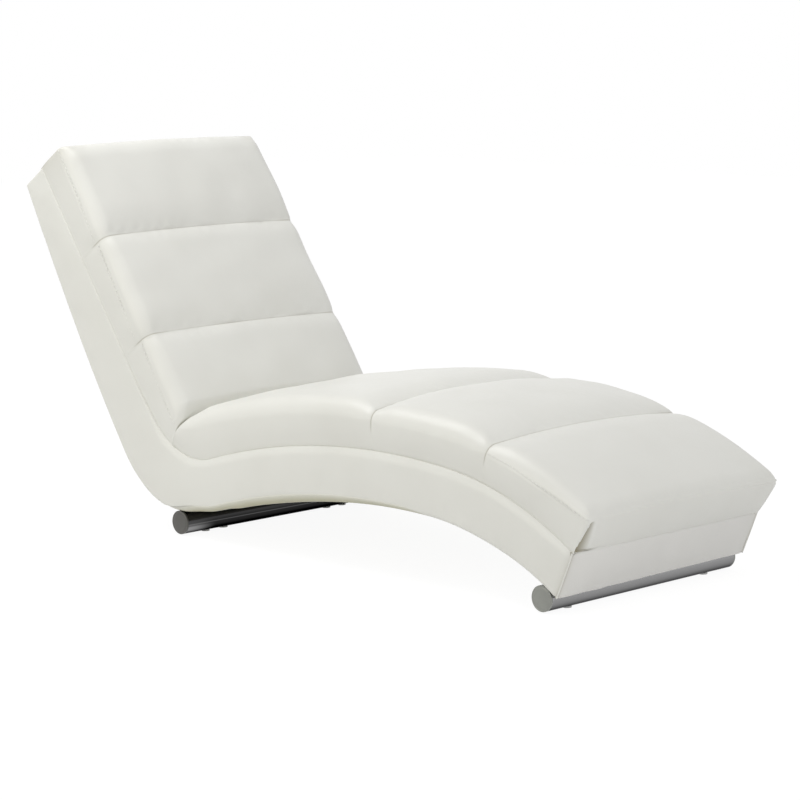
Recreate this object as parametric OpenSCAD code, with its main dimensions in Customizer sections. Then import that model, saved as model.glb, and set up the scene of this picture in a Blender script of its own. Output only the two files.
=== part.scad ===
// Relaxation lounger: an S-shaped upholstered base with six sewn cushions, on two round floor tubes.
// Millimetres, +Z up, +X from the head end to the foot end, width along Y.
// The side view is drawn along the deck, the line where the cushions lie on the base.
// A place on it is a station: the length along the deck from the head end, and a height off the deck.

/* [Deck] */
// Width over the side covers
base_w = 550; // [500:5:650]
// Straight length of the deck behind the back
back_run = 638; // [600:2:680]
// Radius of the deck's bend between back and seat
hip_r = 153; // [145:1:175]
// Angle of that bend in degrees
hip_angle = 71.9; // [69:0.1:74]
// Radius of the deck's arch under the seat
seat_r = 1708; // [1600:4:1900]
// Angle of that arch in degrees
seat_angle = 22.6; // [20:0.1:24]
// Radius of the deck's arch under the legs
leg_r = 738; // [700:2:800]

/* [Base] */
// Depth of the base at the head end
head_depth = 81; // [76:1:88]
// Depth of the base behind the hips
hip_depth = 135; // [128:1:140]
// Depth of the base under the seat
seat_depth = 96; // [92:1:100]
// Depth of the base under the knees
knee_depth = 103; // [99:1:106]
// Depth of the base at the foot end
foot_depth = 97; // [94:1:100]
// How far the foot end's lower edge runs past its upper edge
foot_lean = 20; // [10:1:24]
// Thickness of the leather
leather_t = 2; // [1.6:0.1:3]
// Thickness of the padding on the sides and the foot end
side_foam_t = 10; // [6:1:14]

/* [Cushions] */
// Length of the head cushion along the deck
headrest_len = 233; // [210:1:250]
// Length of the shoulder cushion
upper_back_len = 242; // [215:1:255]
// Length of the small of the back's cushion
lumbar_len = 228; // [218:1:255]
// Length of the seat cushion
seat_len = 617; // [590:1:640]
// Length of the thigh cushion
thigh_len = 292; // [275:1:310]
// Length of the calf cushion
calf_len = 250; // [235:1:270]
// Height of the head cushion's edges over the deck
head_pad_h = 99; // [92:1:106]
// Height of the back cushions' edges
back_pad_h = 97; // [90:1:104]
// Height of the seat cushion's edges at the back
seat_pad_h = 111; // [104:1:118]
// Height of the seat cushion's edges at its front
seat_front_h = 100; // [97:1:106]
// Height of the thigh cushion's edges
thigh_pad_h = 95; // [90:1:100]
// Height of the calf cushion's edges
calf_pad_h = 92; // [88:1:98]
// Rise of the head cushion's middle over its edges at the head end
head_crown = 8; // [4:1:12]
// Rise of the back cushions' middle over their edges
back_crown = 8; // [4:1:12]
// Rise of the leg cushions' middle over their edges
leg_crown = 15; // [10:1:20]
// Rise of the leg cushions' middle at the knees
knee_crown = 10; // [6:1:15]
// Rise of the calf cushion's middle at the foot end
foot_crown = 8; // [4:1:12]
// Radius of the back cushions' shoulders
back_shoulder_r = 32; // [26:1:36]
// Radius of the leg cushions' shoulders
leg_shoulder_r = 42; // [36:1:46]
// Radius of the calf cushion's shoulders at the foot end
foot_shoulder_r = 16; // [12:1:24]
// How far the cushions' sides stand out past the base
side_bulge = 2; // [0:0.5:4]
// How far a cushion's sides are drawn in at the deck
tuck = 11; // [7:1:13]
// Length of a back cushion's roll into a sewn channel
back_channel_roll = 60; // [48:2:72]
// Depth of the sewn channels of the back
back_channel = 9; // [6:1:14]
// Length of a leg cushion's roll into a sewn channel
leg_channel_roll = 70; // [58:2:76]
// Length of the seat's roll into the channel before the thighs
seat_front_roll = 84; // [70:2:96]
// Depth of the sewn channels of the legs
leg_channel = 16; // [10:1:22]
// Length of the head cushion's roll at the head end
head_roll = 46; // [38:2:54]
// How far the head cushion's edges drop at the head end
head_drop = 28; // [22:1:32]
// Length of the calf cushion's roll at the foot end
foot_roll = 28; // [22:1:34]
// How far the calf cushion's edges drop at the foot end
foot_drop = 14; // [10:1:18]
// Depth of the fold between back and seat
fold_drop = 45; // [38:1:50]
// Length of the small of the back's roll into that fold
back_fold_roll = 72; // [60:2:80]
// Length of the seat's roll into that fold
seat_fold_roll = 144; // [130:2:156]

/* [Frame] */
// Thickness of the plywood side frames
ply_t = 18; // [15:1:21]
// Thickness of the rails
rail_t = 22; // [18:1:26]
// Depth of the rails
rail_deep = 50; // [44:1:56]
// Distance of the rails from the frame's upper edge
rail_sink = 6; // [4:0.5:10]
// Thickness of the blocks over the floor tubes
block_t = 36; // [32:1:40]
// Width of the blocks over the floor tubes
block_w = 60; // [54:1:66]
// Width of one elastic strap
strap_w = 50; // [40:1:56]
// Thickness of one elastic strap
strap_t = 1.6; // [1.2:0.1:2]
// Thickness of the lining cloth under the cushions
lining_t = 1; // [0.8:0.1:1.2]
// Shank radius of the frame screws
screw_r = 2.2; // [2:0.1:2.6]
// Length of the frame screws
screw_len = 50; // [44:1:60]

/* [Floor tubes] */
// Outer radius of the floor tubes
tube_r = 25; // [22:0.5:28]
// Wall of the floor tubes
tube_wall = 2; // [1.6:0.1:2.4]
// How far a floor tube's ends stay in from the base's sides
tube_in = 6.5; // [3:0.5:25]
// Thickness of an end cap's disc
cap_t = 4; // [3:0.5:6]
// Depth of an end cap's plug inside the tube
cap_plug = 14; // [10:1:20]
// Station where the base rests on the rear tube
rear_tube_at = 752; // [742:1:760]
// Distance of the front tube's seat from the foot end, along the deck
front_tube_in = 15; // [12:1:24]
// Distance of a glide from its tube's end
glide_in = 70; // [50:1:90]
// Radius of a glide
glide_r = 9; // [8:0.5:12]
// Height of a glide under its tube
glide_h = 2; // [1.5:0.5:3]
// Radius of a glide's stem
glide_stem_r = 4; // [3:0.5:5]

/* [Bolts] */
// Radius of a tube bolt
bolt_r = 4; // [3:0.5:5]
// Radius of a tube bolt's head
bolt_head_r = 6.5; // [6:0.5:8]
// Height of a tube bolt's head
bolt_head_h = 8; // [6:0.5:9]
// Distance of a tube's bolts from its ends
bolt_in = 118.5; // [105:0.5:140]
// Radius of the saddle washers
washer_r = 8; // [7.5:0.5:9]
// Least thickness of a saddle washer
washer_t = 1.2; // [1:0.1:2]
// Radius of the access holes opposite the bolts
access_r = 9.5; // [9:0.5:11]
// Radius of a tee nut's flange
nut_flange_r = 11; // [10:0.5:13]
// Thickness of a tee nut's flange
nut_flange_t = 1.5; // [1:0.1:2]
// Length of a tee nut's barrel
nut_len = 11; // [9:0.5:13]
// Wall of a tee nut's barrel
nut_wall = 1.3; // [1:0.1:1.8]
// Thickness of an access hole's plug outside the tube
plug_t = 1; // [0.8:0.1:1.6]
// How far a plug's head reaches past its hole
plug_lip = 1.2; // [1:0.1:2]

/* [Hidden] */
// Gap between a cushion and what it lies on or beside
soft_gap = 0.3;
// Gap between hard pieces that seat on each other
seat_gap = 0.1;
// Gap round a bolt, a screw or a stem in its hole
hole_gap = 0.3;
// Gap round what is driven in tight
tight_gap = 0.05;
// How far a cut runs past the piece that it cuts
overrun = 1;
// Length of the step that measures a curve's direction
probe = 1;
circle_steps = 64;

// Colours
ivory = [0.91, 0.91, 0.88];
warm_ivory = [0.88, 0.88, 0.84];
foam_yellow = [0.93, 0.87, 0.66];
timber = [0.80, 0.66, 0.46];
plywood = [0.86, 0.74, 0.55];
strap_grey = [0.30, 0.30, 0.31];
lining_black = [0.16, 0.16, 0.17];
chrome = [0.76, 0.77, 0.79];
satin_grey = [0.56, 0.57, 0.55];
zinc = [0.66, 0.67, 0.68];
nylon = [0.12, 0.12, 0.13];

// The deck's curve

function arc_len(r, turn) = r * turn * PI / 180;
hip_len = arc_len(hip_r, hip_angle);
seat_arc_len = arc_len(seat_r, seat_angle);
deck_len = headrest_len + upper_back_len + lumbar_len + seat_len + thigh_len + calf_len;
leg_len = deck_len - back_run - hip_len - seat_arc_len;
leg_angle = leg_len / leg_r * 180 / PI;
// Each stretch of the deck: its length and how far it turns, upwards or downwards
stretches = [[back_run, 0], [hip_len, hip_angle], [seat_arc_len, -seat_angle], [leg_len, -leg_angle]];

function heading(a) = [cos(a), sin(a)];
function up_from(a) = [-sin(a), cos(a)];
// The point and direction at the end of a stretch that starts at p in direction a
function after(p, a, len, turn) = turn == 0 ? p + len * heading(a)
  : p + len / (turn * PI / 180) * [sin(a + turn) - sin(a), cos(a) - cos(a + turn)];
// The deck's point and direction at station s; past either end the first or last stretch goes on
function deck_at(s, p, a, i = 0) =
  let (len = stretches[i][0], turn = stretches[i][1], last = i == len(stretches) - 1)
  last || s <= len ? [after(p, a, s, turn * s / len), a + turn * s / len]
  : deck_at(s - len, after(p, a, len, turn), a + turn, i + 1);
// A place h over station s, on a deck that starts at p in direction a
function place(s, h, p, a) = let (d = deck_at(s, p, a)) d[0] + h * up_from(d[1]);

// The base's depth grows in a quarter wave to the hips, and eases to the seat, the knees and the foot end
deepest_share = 0.30;
shallow_share = 1.08;
deepest_at = back_run + deepest_share * hip_len;
shallow_at = back_run + shallow_share * hip_len;
knee_at = deck_len - calf_len;
function ease(t) = (1 - cos(180 * min(1, max(0, t)))) / 2;
function eased(s, s0, s1, d0, d1) = d0 + (d1 - d0) * ease((s - s0) / (s1 - s0));
function base_depth(s) = s < deepest_at
  ? head_depth + (hip_depth - head_depth) * sin(90 * max(0, s) / deepest_at)
  : s < shallow_at ? eased(s, deepest_at, shallow_at, hip_depth, seat_depth)
  : s < knee_at ? eased(s, shallow_at, knee_at, seat_depth, knee_depth)
  : eased(s, knee_at, deck_len, knee_depth, foot_depth);

// The tubes touch the base's underside, and the lounger leans so that both lie level
function underside(s, p, a) = place(s, -base_depth(s), p, a);
function outward(s, p, a) =
  let (d = underside(s + probe, p, a) - underside(s - probe, p, a)) [d.y, -d.x] / norm(d);
function tube_centre(s, p, a) = underside(s, p, a) + (tube_r + seat_gap) * outward(s, p, a);
front_tube_at = deck_len - front_tube_in;
unleaned_run = tube_centre(front_tube_at, [0, 0], 0) - tube_centre(rear_tube_at, [0, 0], 0);
lean = -atan2(unleaned_run.y, unleaned_run.x);

// Cushions, from the head end. Length; edge heights, crowns and shoulder radii at the head side and the
// foot side; then for each end its roll's length, how far the top drops there, and the roll's steps
seat_fold_drop = seat_pad_h - back_pad_h + fold_drop;
pads = [
  [headrest_len, [head_pad_h, head_pad_h], [head_crown, back_crown], [back_shoulder_r, back_shoulder_r],
    [head_roll, head_drop, 3], [back_channel_roll, back_channel + head_pad_h - back_pad_h, 3]],
  [upper_back_len, [back_pad_h, back_pad_h], [back_crown, back_crown], [back_shoulder_r, back_shoulder_r],
    [back_channel_roll, back_channel, 3], [back_channel_roll, back_channel, 3]],
  [lumbar_len, [back_pad_h, back_pad_h], [back_crown, back_crown], [back_shoulder_r, back_shoulder_r],
    [back_channel_roll, back_channel, 3], [back_fold_roll, fold_drop, 5]],
  [seat_len, [seat_pad_h, seat_front_h], [back_crown, leg_crown], [leg_shoulder_r, leg_shoulder_r],
    [seat_fold_roll, seat_fold_drop, 8], [seat_front_roll, leg_channel + seat_front_h - thigh_pad_h, 3]],
  [thigh_len, [thigh_pad_h, thigh_pad_h], [leg_crown, knee_crown], [leg_shoulder_r, leg_shoulder_r],
    [leg_channel_roll, leg_channel, 3], [leg_channel_roll, leg_channel, 3]],
  [calf_len, [calf_pad_h, calf_pad_h], [knee_crown, foot_crown], [leg_shoulder_r, foot_shoulder_r],
    [leg_channel_roll, leg_channel + calf_pad_h - thigh_pad_h, 3], [foot_roll, foot_drop, 3]]];
mid_steps = [2, 2, 2, 8, 4, 3];
function pad_start(i) = i == 0 ? 0 : pad_start(i - 1) + pads[i - 1][0];
// Distances from the head end of pad i to its rings, with its surface moved in by e
function roll_place(roll, k, n) = roll * (1 - cos(90 * k / n));
function pad_rings(i, e = 0) =
  let (len = pads[i][0] - e, ra = pads[i][4][0] - e, na = pads[i][4][2],
    rb = pads[i][5][0] - e, nb = pads[i][5][2])
  concat([for (k = [0:na]) e + roll_place(ra, k, na)],
    [for (k = [1:mid_steps[i]]) e + ra + (len - e - ra - rb) * k / (mid_steps[i] + 1)],
    [for (k = [nb:-1:0]) len - roll_place(rb, k, nb)]);
// How far the top has dropped towards an end, u away from it
function rolled(u, roll, drop) = u >= roll ? 0 : drop * (1 - sqrt(max(0, 1 - pow(1 - u / roll, 2))));
// A value that goes from one end of pad i to the other
function along(i, pair, u) = pair[0] + (pair[1] - pair[0]) * u / pads[i][0];
function pad_edge(i, u) = along(i, pads[i][1], u)
  - rolled(u, pads[i][4][0], pads[i][4][1]) - rolled(pads[i][0] - u, pads[i][5][0], pads[i][5][1]);
function pad_crown(i, u) = along(i, pads[i][2], u);
function pad_shoulder(i, u) = min(along(i, pads[i][3], u), shoulder_share * pad_edge(i, u));
shoulder_share = 0.8;

// Stations at which everything that follows the deck has its corners, so that neighbours match.
// In the hollow of the bend the base has one more corner between each two.
function in_bend(s) = s >= back_run && s < back_run + hip_len;
stations = concat([for (i = [0:len(pads) - 1]) let (r = pad_rings(i))
  for (k = [0:len(r) - 2]) let (s = pad_start(i) + r[k])
    each in_bend(s) ? [s, s + (r[k + 1] - r[k]) / 2] : [s]], [deck_len]);
function stations_between(a, b) =
  concat([a], [for (s = stations) if (s > a + probe && s < b - probe) s], [b]);

// The origin is under the middle of the whole length, at the floor
loose_back = place(0, -head_depth, [0, 0], lean).x;
loose_front = [for (u = pad_rings(5)) place(knee_at + u, pad_edge(5, u) + pad_crown(5, u), [0, 0], lean).x];
loose_floor = tube_centre(rear_tube_at, [0, 0], lean).y - tube_r - glide_h;
start = [-(loose_back + max(loose_front)) / 2, -loose_floor];
function at(s, h) = place(s, h, start, lean);
function slope(s) = deck_at(s, start, lean)[1];
rear_centre = tube_centre(rear_tube_at, start, lean);
front_centre = tube_centre(front_tube_at, start, lean);
rear_out = outward(rear_tube_at, start, lean);
front_out = outward(front_tube_at, start, lean);
rear_tilt = atan2(-rear_out.x, -rear_out.y);
front_tilt = atan2(-front_out.x, -front_out.y);

// Layers from the outside in, across the width and down from the deck
cover_y = base_w / 2;
foam_y = cover_y - leather_t;
ply_y = foam_y - side_foam_t;
inner_y = ply_y - ply_t;
strap_top = lining_t + 2 * soft_gap;
frame_top = strap_top + strap_t + seat_gap;
foot_in = leather_t + side_foam_t;

module across(points, y0, y1) {
  translate([0, y1, 0]) rotate([90, 0, 0]) linear_extrude(y1 - y0) polygon(points);
}

module mirrored(right) {
  if (right) mirror([0, 1, 0]) children();
  else children();
}

function reversed(v) = [for (k = [len(v) - 1:-1:0]) v[k]];
// A strip between two heights off the deck, or between two depths in from the underside
function deck_strip(a, b, high, low) = let (s = stations_between(a, b))
  concat([for (k = s) at(k, high)], [for (k = reversed(s)) at(k, low)]);
function under_line(a, b, deep) = [for (k = stations_between(a, b)) at(k, deep - base_depth(k))];
// The base's side view, moved in at the deck, the underside, the head end and the foot end
function outline(top, under, head, foot) = concat(
  [for (s = stations_between(head, deck_len - foot)) at(s, -top)],
  reversed(under_line(head, deck_len + foot_lean - foot, under)));
// Station of the foot end's slanted face at depth d, moved in by e
function foot_face(d, e) = at(deck_len + foot_lean * d / foot_depth - e, -d);

// The two tubes' own frames: origin on the tube's axis, +Z square into the base
module on_rear_tube() {
  translate([rear_centre.x, 0, rear_centre.y]) rotate([0, rear_tilt, 0]) children();
}

module on_front_tube() {
  translate([front_centre.x, 0, front_centre.y]) rotate([0, front_tilt, 0]) children();
}

module rod(r, z0, z1) {
  translate([0, 0, z0]) cylinder(h = z1 - z0, r = r, $fn = circle_steps);
}

module y_rod(r, y0, y1) {
  translate([0, y1, 0]) rotate([90, 0, 0]) cylinder(h = y1 - y0, r = r, $fn = circle_steps);
}

tube_len = base_w - 2 * tube_in;
module at_bolts() {
  for (side = [-1, 1]) translate([0, side * (tube_len / 2 - bolt_in), 0]) children();
}

tube_bore = tube_r - tube_wall;
cover_in = tube_r + seat_gap + leather_t;
block_low = cover_in + seat_gap;
block_high = block_low + block_t;
saddle_z = sqrt(pow(tube_bore, 2) - pow(washer_r, 2)) - washer_t;

// Timber frame

rail_mid = frame_top + rail_sink + rail_deep / 2;
head_rail_at = leather_t + overrun + rail_t / 2;
rail_places = [head_rail_at, pad_start(1) + upper_back_len / 2, pad_start(2) + lumbar_len / 2,
  pad_start(3) + seat_len / 2, pad_start(4), pad_start(5)];
block_mid = (block_low + block_high) / 2;
function on_tube_at(c, tilt, x, z) = c + x * [cos(tilt), -sin(tilt)] + z * [sin(tilt), cos(tilt)];
screw_spots = concat(
  [for (s = rail_places) for (k = [-1, 1]) at(s, -rail_mid + k * rail_deep / 4)],
  [for (k = [-1, 1]) on_tube_at(rear_centre, rear_tilt, k * block_w / 5, block_mid)],
  [for (k = [-2, 0]) on_tube_at(front_centre, front_tilt, k * block_w / 5, block_mid)]);

module screw_shape(gap) {
  for (p = screw_spots) translate([p.x, ply_y, p.y]) rotate([90, 0, 0]) {
    cylinder(h = screw_len, r = screw_r + gap, $fn = circle_steps / 2);
    cylinder(h = screw_r + gap, r1 = 2 * screw_r + gap, r2 = screw_r + gap, $fn = circle_steps / 2);
  }
}

module side_frame(right) {
  color(plywood) mirrored(right) difference() {
    across(outline(frame_top, leather_t + seat_gap, leather_t + seat_gap, foot_in), inner_y, ply_y);
    screw_shape(hole_gap);
  }
}
module side_frame_left() { side_frame(false); }
module side_frame_right() { side_frame(true); }

module bored_for_screws() {
  color(timber) difference() {
    children();
    screw_shape(tight_gap);
    mirror([0, 1, 0]) screw_shape(tight_gap);
  }
}

module rail(i) {
  p = at(rail_places[i], -rail_mid);
  bored_for_screws() translate([p.x, 0, p.y]) rotate([0, -slope(rail_places[i]), 0])
    cube([rail_t, 2 * inner_y, rail_deep], center = true);
}
module head_rail() { rail(0); }
module shoulder_rail() { rail(1); }
module lumbar_rail() { rail(2); }
module seat_rail() { rail(3); }
module knee_rail() { rail(4); }
module calf_rail() { rail(5); }

module foot_block() {
  translate([-block_w / 2, -inner_y, block_low]) cube([block_w, 2 * inner_y, block_t]);
}

module block_bores() {
  at_bolts() {
    rod(bolt_r + hole_gap, block_low - overrun, block_high + overrun);
    rod(bolt_r + nut_wall + tight_gap, block_high - nut_len - seat_gap, block_high + overrun);
  }
}

module inside_of_base() {
  across(outline(frame_top, leather_t + seat_gap, leather_t + seat_gap, foot_in), -inner_y, inner_y);
}

module rear_foot_block() {
  bored_for_screws() difference() {
    intersection() {
      inside_of_base();
      on_rear_tube() foot_block();
    }
    on_rear_tube() block_bores();
  }
}

module front_foot_block() {
  bored_for_screws() difference() {
    intersection() {
      inside_of_base();
      on_front_tube() foot_block();
    }
    on_front_tube() block_bores();
  }
}

module frame_screws_left() { color(zinc) screw_shape(0); }
module frame_screws_right() { color(zinc) mirror([0, 1, 0]) screw_shape(0); }

// Straps and lining under the cushions

strap_pitch = 2 * strap_w;
module webbing(first, last) {
  color(strap_grey) for (s = [first:strap_pitch:last])
    across(deck_strip(s - strap_w / 2, s + strap_w / 2, -strap_top, -strap_top - strap_t), -ply_y, ply_y);
}
module back_webbing() { webbing(strap_pitch, back_run - strap_w); }
module seat_webbing() { webbing(back_run + hip_len + strap_w, deck_len - strap_w - foot_in); }

module deck_lining() {
  color(lining_black) across(deck_strip(leather_t, deck_len - foot_in, 0, -lining_t), -foam_y, foam_y);
}

// Upholstery of the base

module side_padding(right) {
  color(foam_yellow) mirrored(right)
    across(outline(strap_top, leather_t, leather_t, foot_in), ply_y, foam_y);
}
module side_padding_left() { side_padding(false); }
module side_padding_right() { side_padding(true); }

module foot_end_padding() {
  low = foot_depth - leather_t;
  color(foam_yellow) across([foot_face(0, leather_t), foot_face(low, leather_t), foot_face(low, foot_in),
    foot_face(0, foot_in)], -foam_y, foam_y);
}

module side_cover(right) {
  color(ivory) mirrored(right) across(outline(0, 0, 0, 0), foam_y, cover_y);
}
module side_cover_left() { side_cover(false); }
module side_cover_right() { side_cover(true); }

module head_end_cover() {
  low = leather_t - head_depth;
  color(ivory) across([at(0, 0), at(leather_t, 0), at(leather_t, low), at(0, low)], -foam_y, foam_y);
}

module foot_end_cover() {
  low = foot_depth - leather_t;
  color(warm_ivory) across([foot_face(0, 0), foot_face(low, 0), foot_face(low, leather_t),
    foot_face(0, leather_t)], -foam_y, foam_y);
}

module underside_cover() {
  last = deck_len + foot_lean;
  color(ivory) difference() {
    across(concat(under_line(0, last, 0), reversed(under_line(0, last, leather_t))), -foam_y, foam_y);
    on_rear_tube() at_bolts() rod(bolt_r + hole_gap, tube_r - overrun, cover_in + overrun);
    on_front_tube() at_bolts() rod(bolt_r + hole_gap, tube_r - overrun, cover_in + overrun);
  }
}

// Cushions: leather covers, open at the deck, over foam

shoulder_steps = 3;
crown_shares = [0.66, 0.33];
stitch_share = 0.15;
end_tuck_share = 0.4;
// One half of a cushion's cross-section from the deck up: places across the width, and heights
function half_section(hw, low, edge, rise, r) = concat(
  [[hw - tuck, low], [hw, (low + edge - r) / 2]],
  [for (k = [0:shoulder_steps]) let (a = 90 * k / shoulder_steps)
    [hw - stitch_share * tuck - r * (1 - cos(a)), edge - r * (1 - sin(a))]],
  [for (c = crown_shares) [c * (hw - r), edge + rise * (1 - c * c)]]);
function section(hw, low, edge, rise, r) = let (half = half_section(hw, low, edge, rise, r))
  concat(half, [[0, edge + rise]], [for (q = reversed(half)) [-q[0], q[1]]]);

// Corners of cushion i's form from ring to ring, its surface moved in by e, its flat side at height low
function form_points(i, e, low) =
  let (outer_u = pad_rings(i), u = pad_rings(i, e))
  [for (k = [0:len(u) - 1])
    let (v = outer_u[k], end_share = rolled(v, pads[i][4][0], 1) + rolled(pads[i][0] - v, pads[i][5][0], 1),
      drawn = end_tuck_share * tuck * end_share)
    for (q = section(cover_y + side_bulge - drawn - e, low, pad_edge(i, v) - e, pad_crown(i, v),
        pad_shoulder(i, v) - e))
      let (p = at(pad_start(i) + u[k], q[1])) [p.x, q[0], p.y]];
section_n = len(section(1, 0, 1, 1, 1));
tip = (section_n - 1) / 2;
// Two triangles between corners a and b of one ring and c and d of the next
function strip(a, b, c, d) = [[b, a, c], [b, c, d]];
function inside_out(faces) = [for (f = faces) reversed(f)];
// The rings' skin, from the form's corner number first, along the given edges of the section
function skin(first, rings, edges) = [for (k = [0:rings - 2]) for (j = [0:edges - 1])
  let (a = first + k * section_n + j, b = first + k * section_n + (j + 1) % section_n)
  each strip(a, b, a + section_n, b + section_n)];
function end_face(first) = [for (j = [1:section_n - 2])
  [first + tip, first + (tip + j) % section_n, first + (tip + j + 1) % section_n]];
function form_ends(first, rings) =
  concat(end_face(first), inside_out(end_face(first + (rings - 1) * section_n)));

module cushion_cover(i) {
  outer = form_points(i, soft_gap / 2, soft_gap);
  inner = form_points(i, soft_gap / 2 + leather_t, soft_gap);
  m = len(outer);
  rings = m / section_n;
  low = section_n - 1;
  far = m - section_n;
  rim = [for (k = [0:rings - 2]) let (a = k * section_n, b = a + section_n)
    each concat(strip(a + low, m + a + low, b + low, m + b + low), strip(m + a, a, m + b, b))];
  end_rim = [[0, low, m + low], [0, m + low, m]];
  far_rim = inside_out([for (f = end_rim) [for (c = f) c + far]]);
  color(ivory) polyhedron(concat(outer, inner), concat(
    skin(0, rings, low), form_ends(0, rings), inside_out(concat(skin(m, rings, low), form_ends(m, rings))),
    rim, end_rim, far_rim));
}
module headrest_cover() { cushion_cover(0); }
module upper_back_cover() { cushion_cover(1); }
module lumbar_cover() { cushion_cover(2); }
module seat_cover() { cushion_cover(3); }
module thigh_cover() { cushion_cover(4); }
module calf_cover() { cushion_cover(5); }

module cushion_foam(i) {
  points = form_points(i, 1.5 * soft_gap + leather_t, soft_gap);
  rings = len(points) / section_n;
  color(foam_yellow) polyhedron(points, concat(skin(0, rings, section_n), form_ends(0, rings)));
}
module headrest_foam() { cushion_foam(0); }
module upper_back_foam() { cushion_foam(1); }
module lumbar_foam() { cushion_foam(2); }
module seat_foam() { cushion_foam(3); }
module thigh_foam() { cushion_foam(4); }
module calf_foam() { cushion_foam(5); }

// Floor tubes, end caps and glides

tube_end = tube_len / 2 - cap_t;
glide_y = tube_len / 2 - glide_in;

module at_glides(side) {
  translate([0, side * glide_y, 0]) children();
}

module tube_shell(centre, tilt) {
  translate([centre.x, 0, centre.y]) color(chrome) difference() {
    y_rod(tube_r, -tube_end, tube_end);
    y_rod(tube_bore, -tube_end - overrun, tube_end + overrun);
    rotate([0, tilt, 0]) at_bolts() {
      rod(bolt_r + hole_gap, 0, tube_r + overrun);
      rod(access_r, -tube_r - overrun, 0);
    }
    for (side = [-1, 1]) at_glides(side) rod(glide_stem_r + tight_gap, -tube_r - overrun, 0);
  }
}
module rear_tube() { tube_shell(rear_centre, rear_tilt); }
module front_tube() { tube_shell(front_centre, front_tilt); }

module end_cap(centre, right) {
  translate([centre.x, 0, centre.y]) color(satin_grey) mirrored(right) {
    y_rod(tube_r, tube_end, tube_end + cap_t);
    difference() {
      y_rod(tube_bore - tight_gap, tube_end - cap_plug, tube_end);
      y_rod(tube_bore - 2 * tube_wall, tube_end - cap_plug - overrun, tube_end);
    }
  }
}
module rear_cap_left() { end_cap(rear_centre, false); }
module rear_cap_right() { end_cap(rear_centre, true); }
module front_cap_left() { end_cap(front_centre, false); }
module front_cap_right() { end_cap(front_centre, true); }

module glide(centre, side) {
  glide_wrap = glide_h;
  translate([centre.x, 0, centre.y]) color(nylon) at_glides(side) {
    difference() {
      rod(glide_r, -tube_r - glide_h, -tube_r + glide_wrap);
      y_rod(tube_r + tight_gap, -glide_r - overrun, glide_r + overrun);
    }
    rod(glide_stem_r, -tube_r - glide_h, -tube_bore + glide_wrap);
  }
}
module rear_glide_left() { glide(rear_centre, 1); }
module rear_glide_right() { glide(rear_centre, -1); }
module front_glide_left() { glide(front_centre, 1); }
module front_glide_right() { glide(front_centre, -1); }

// Bolts that hold the tubes

module bolts() {
  color(zinc) at_bolts() {
    rod(bolt_head_r, saddle_z - bolt_head_h, saddle_z);
    rod(bolt_r, saddle_z, block_high + nut_flange_t);
  }
}
module rear_bolts() { on_rear_tube() bolts(); }
module front_bolts() { on_front_tube() bolts(); }

module washers() {
  color(zinc) at_bolts() difference() {
    intersection() {
      rod(washer_r, saddle_z, tube_r);
      y_rod(tube_bore - tight_gap, -washer_r - overrun, washer_r + overrun);
    }
    rod(bolt_r + hole_gap, 0, tube_r + overrun);
  }
}
module rear_washers() { on_rear_tube() washers(); }
module front_washers() { on_front_tube() washers(); }

module tee_nuts() {
  color(zinc) at_bolts() difference() {
    union() {
      rod(nut_flange_r, block_high, block_high + nut_flange_t);
      rod(bolt_r + nut_wall, block_high - nut_len, block_high);
    }
    rod(bolt_r + tight_gap, block_high - nut_len - overrun, block_high + nut_flange_t + overrun);
  }
}
module rear_tee_nuts() { on_rear_tube() tee_nuts(); }
module front_tee_nuts() { on_front_tube() tee_nuts(); }

module plugs() {
  color(nylon) at_bolts() {
    difference() {
      rod(access_r + plug_lip, -tube_r - plug_t, -tube_bore);
      y_rod(tube_r + tight_gap, -access_r - plug_lip - overrun, access_r + plug_lip + overrun);
    }
    rod(access_r - tight_gap, -tube_r - plug_t, -tube_bore + plug_t);
  }
}
module rear_plugs() { on_rear_tube() plugs(); }
module front_plugs() { on_front_tube() plugs(); }

side_frame_left();
side_frame_right();
head_rail();
shoulder_rail();
lumbar_rail();
seat_rail();
knee_rail();
calf_rail();
rear_foot_block();
front_foot_block();
frame_screws_left();
frame_screws_right();
back_webbing();
seat_webbing();
deck_lining();
side_padding_left();
side_padding_right();
foot_end_padding();
side_cover_left();
side_cover_right();
head_end_cover();
foot_end_cover();
underside_cover();
headrest_cover();
upper_back_cover();
lumbar_cover();
seat_cover();
thigh_cover();
calf_cover();
headrest_foam();
upper_back_foam();
lumbar_foam();
seat_foam();
thigh_foam();
calf_foam();
rear_tube();
front_tube();
rear_cap_left();
rear_cap_right();
front_cap_left();
front_cap_right();
rear_bolts();
front_bolts();
rear_washers();
front_washers();
rear_tee_nuts();
front_tee_nuts();
rear_plugs();
front_plugs();
rear_glide_left();
rear_glide_right();
front_glide_left();
front_glide_right();
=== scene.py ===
"""Relaxation lounger: the looks of its leather, seams, frame and floor tubes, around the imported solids.

Sizes are millimetres in the lounger's own frame, and meshes are written in metres. The side view is
drawn along the deck, the line where the cushions lie on the base: a place on it is a station, the
length along the deck from the head end, and a height off the deck.
"""

from __future__ import annotations

import logging
import math
from dataclasses import dataclass, field
from enum import Enum

import bpy
import numpy as np
from mathutils import Matrix, Vector


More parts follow.
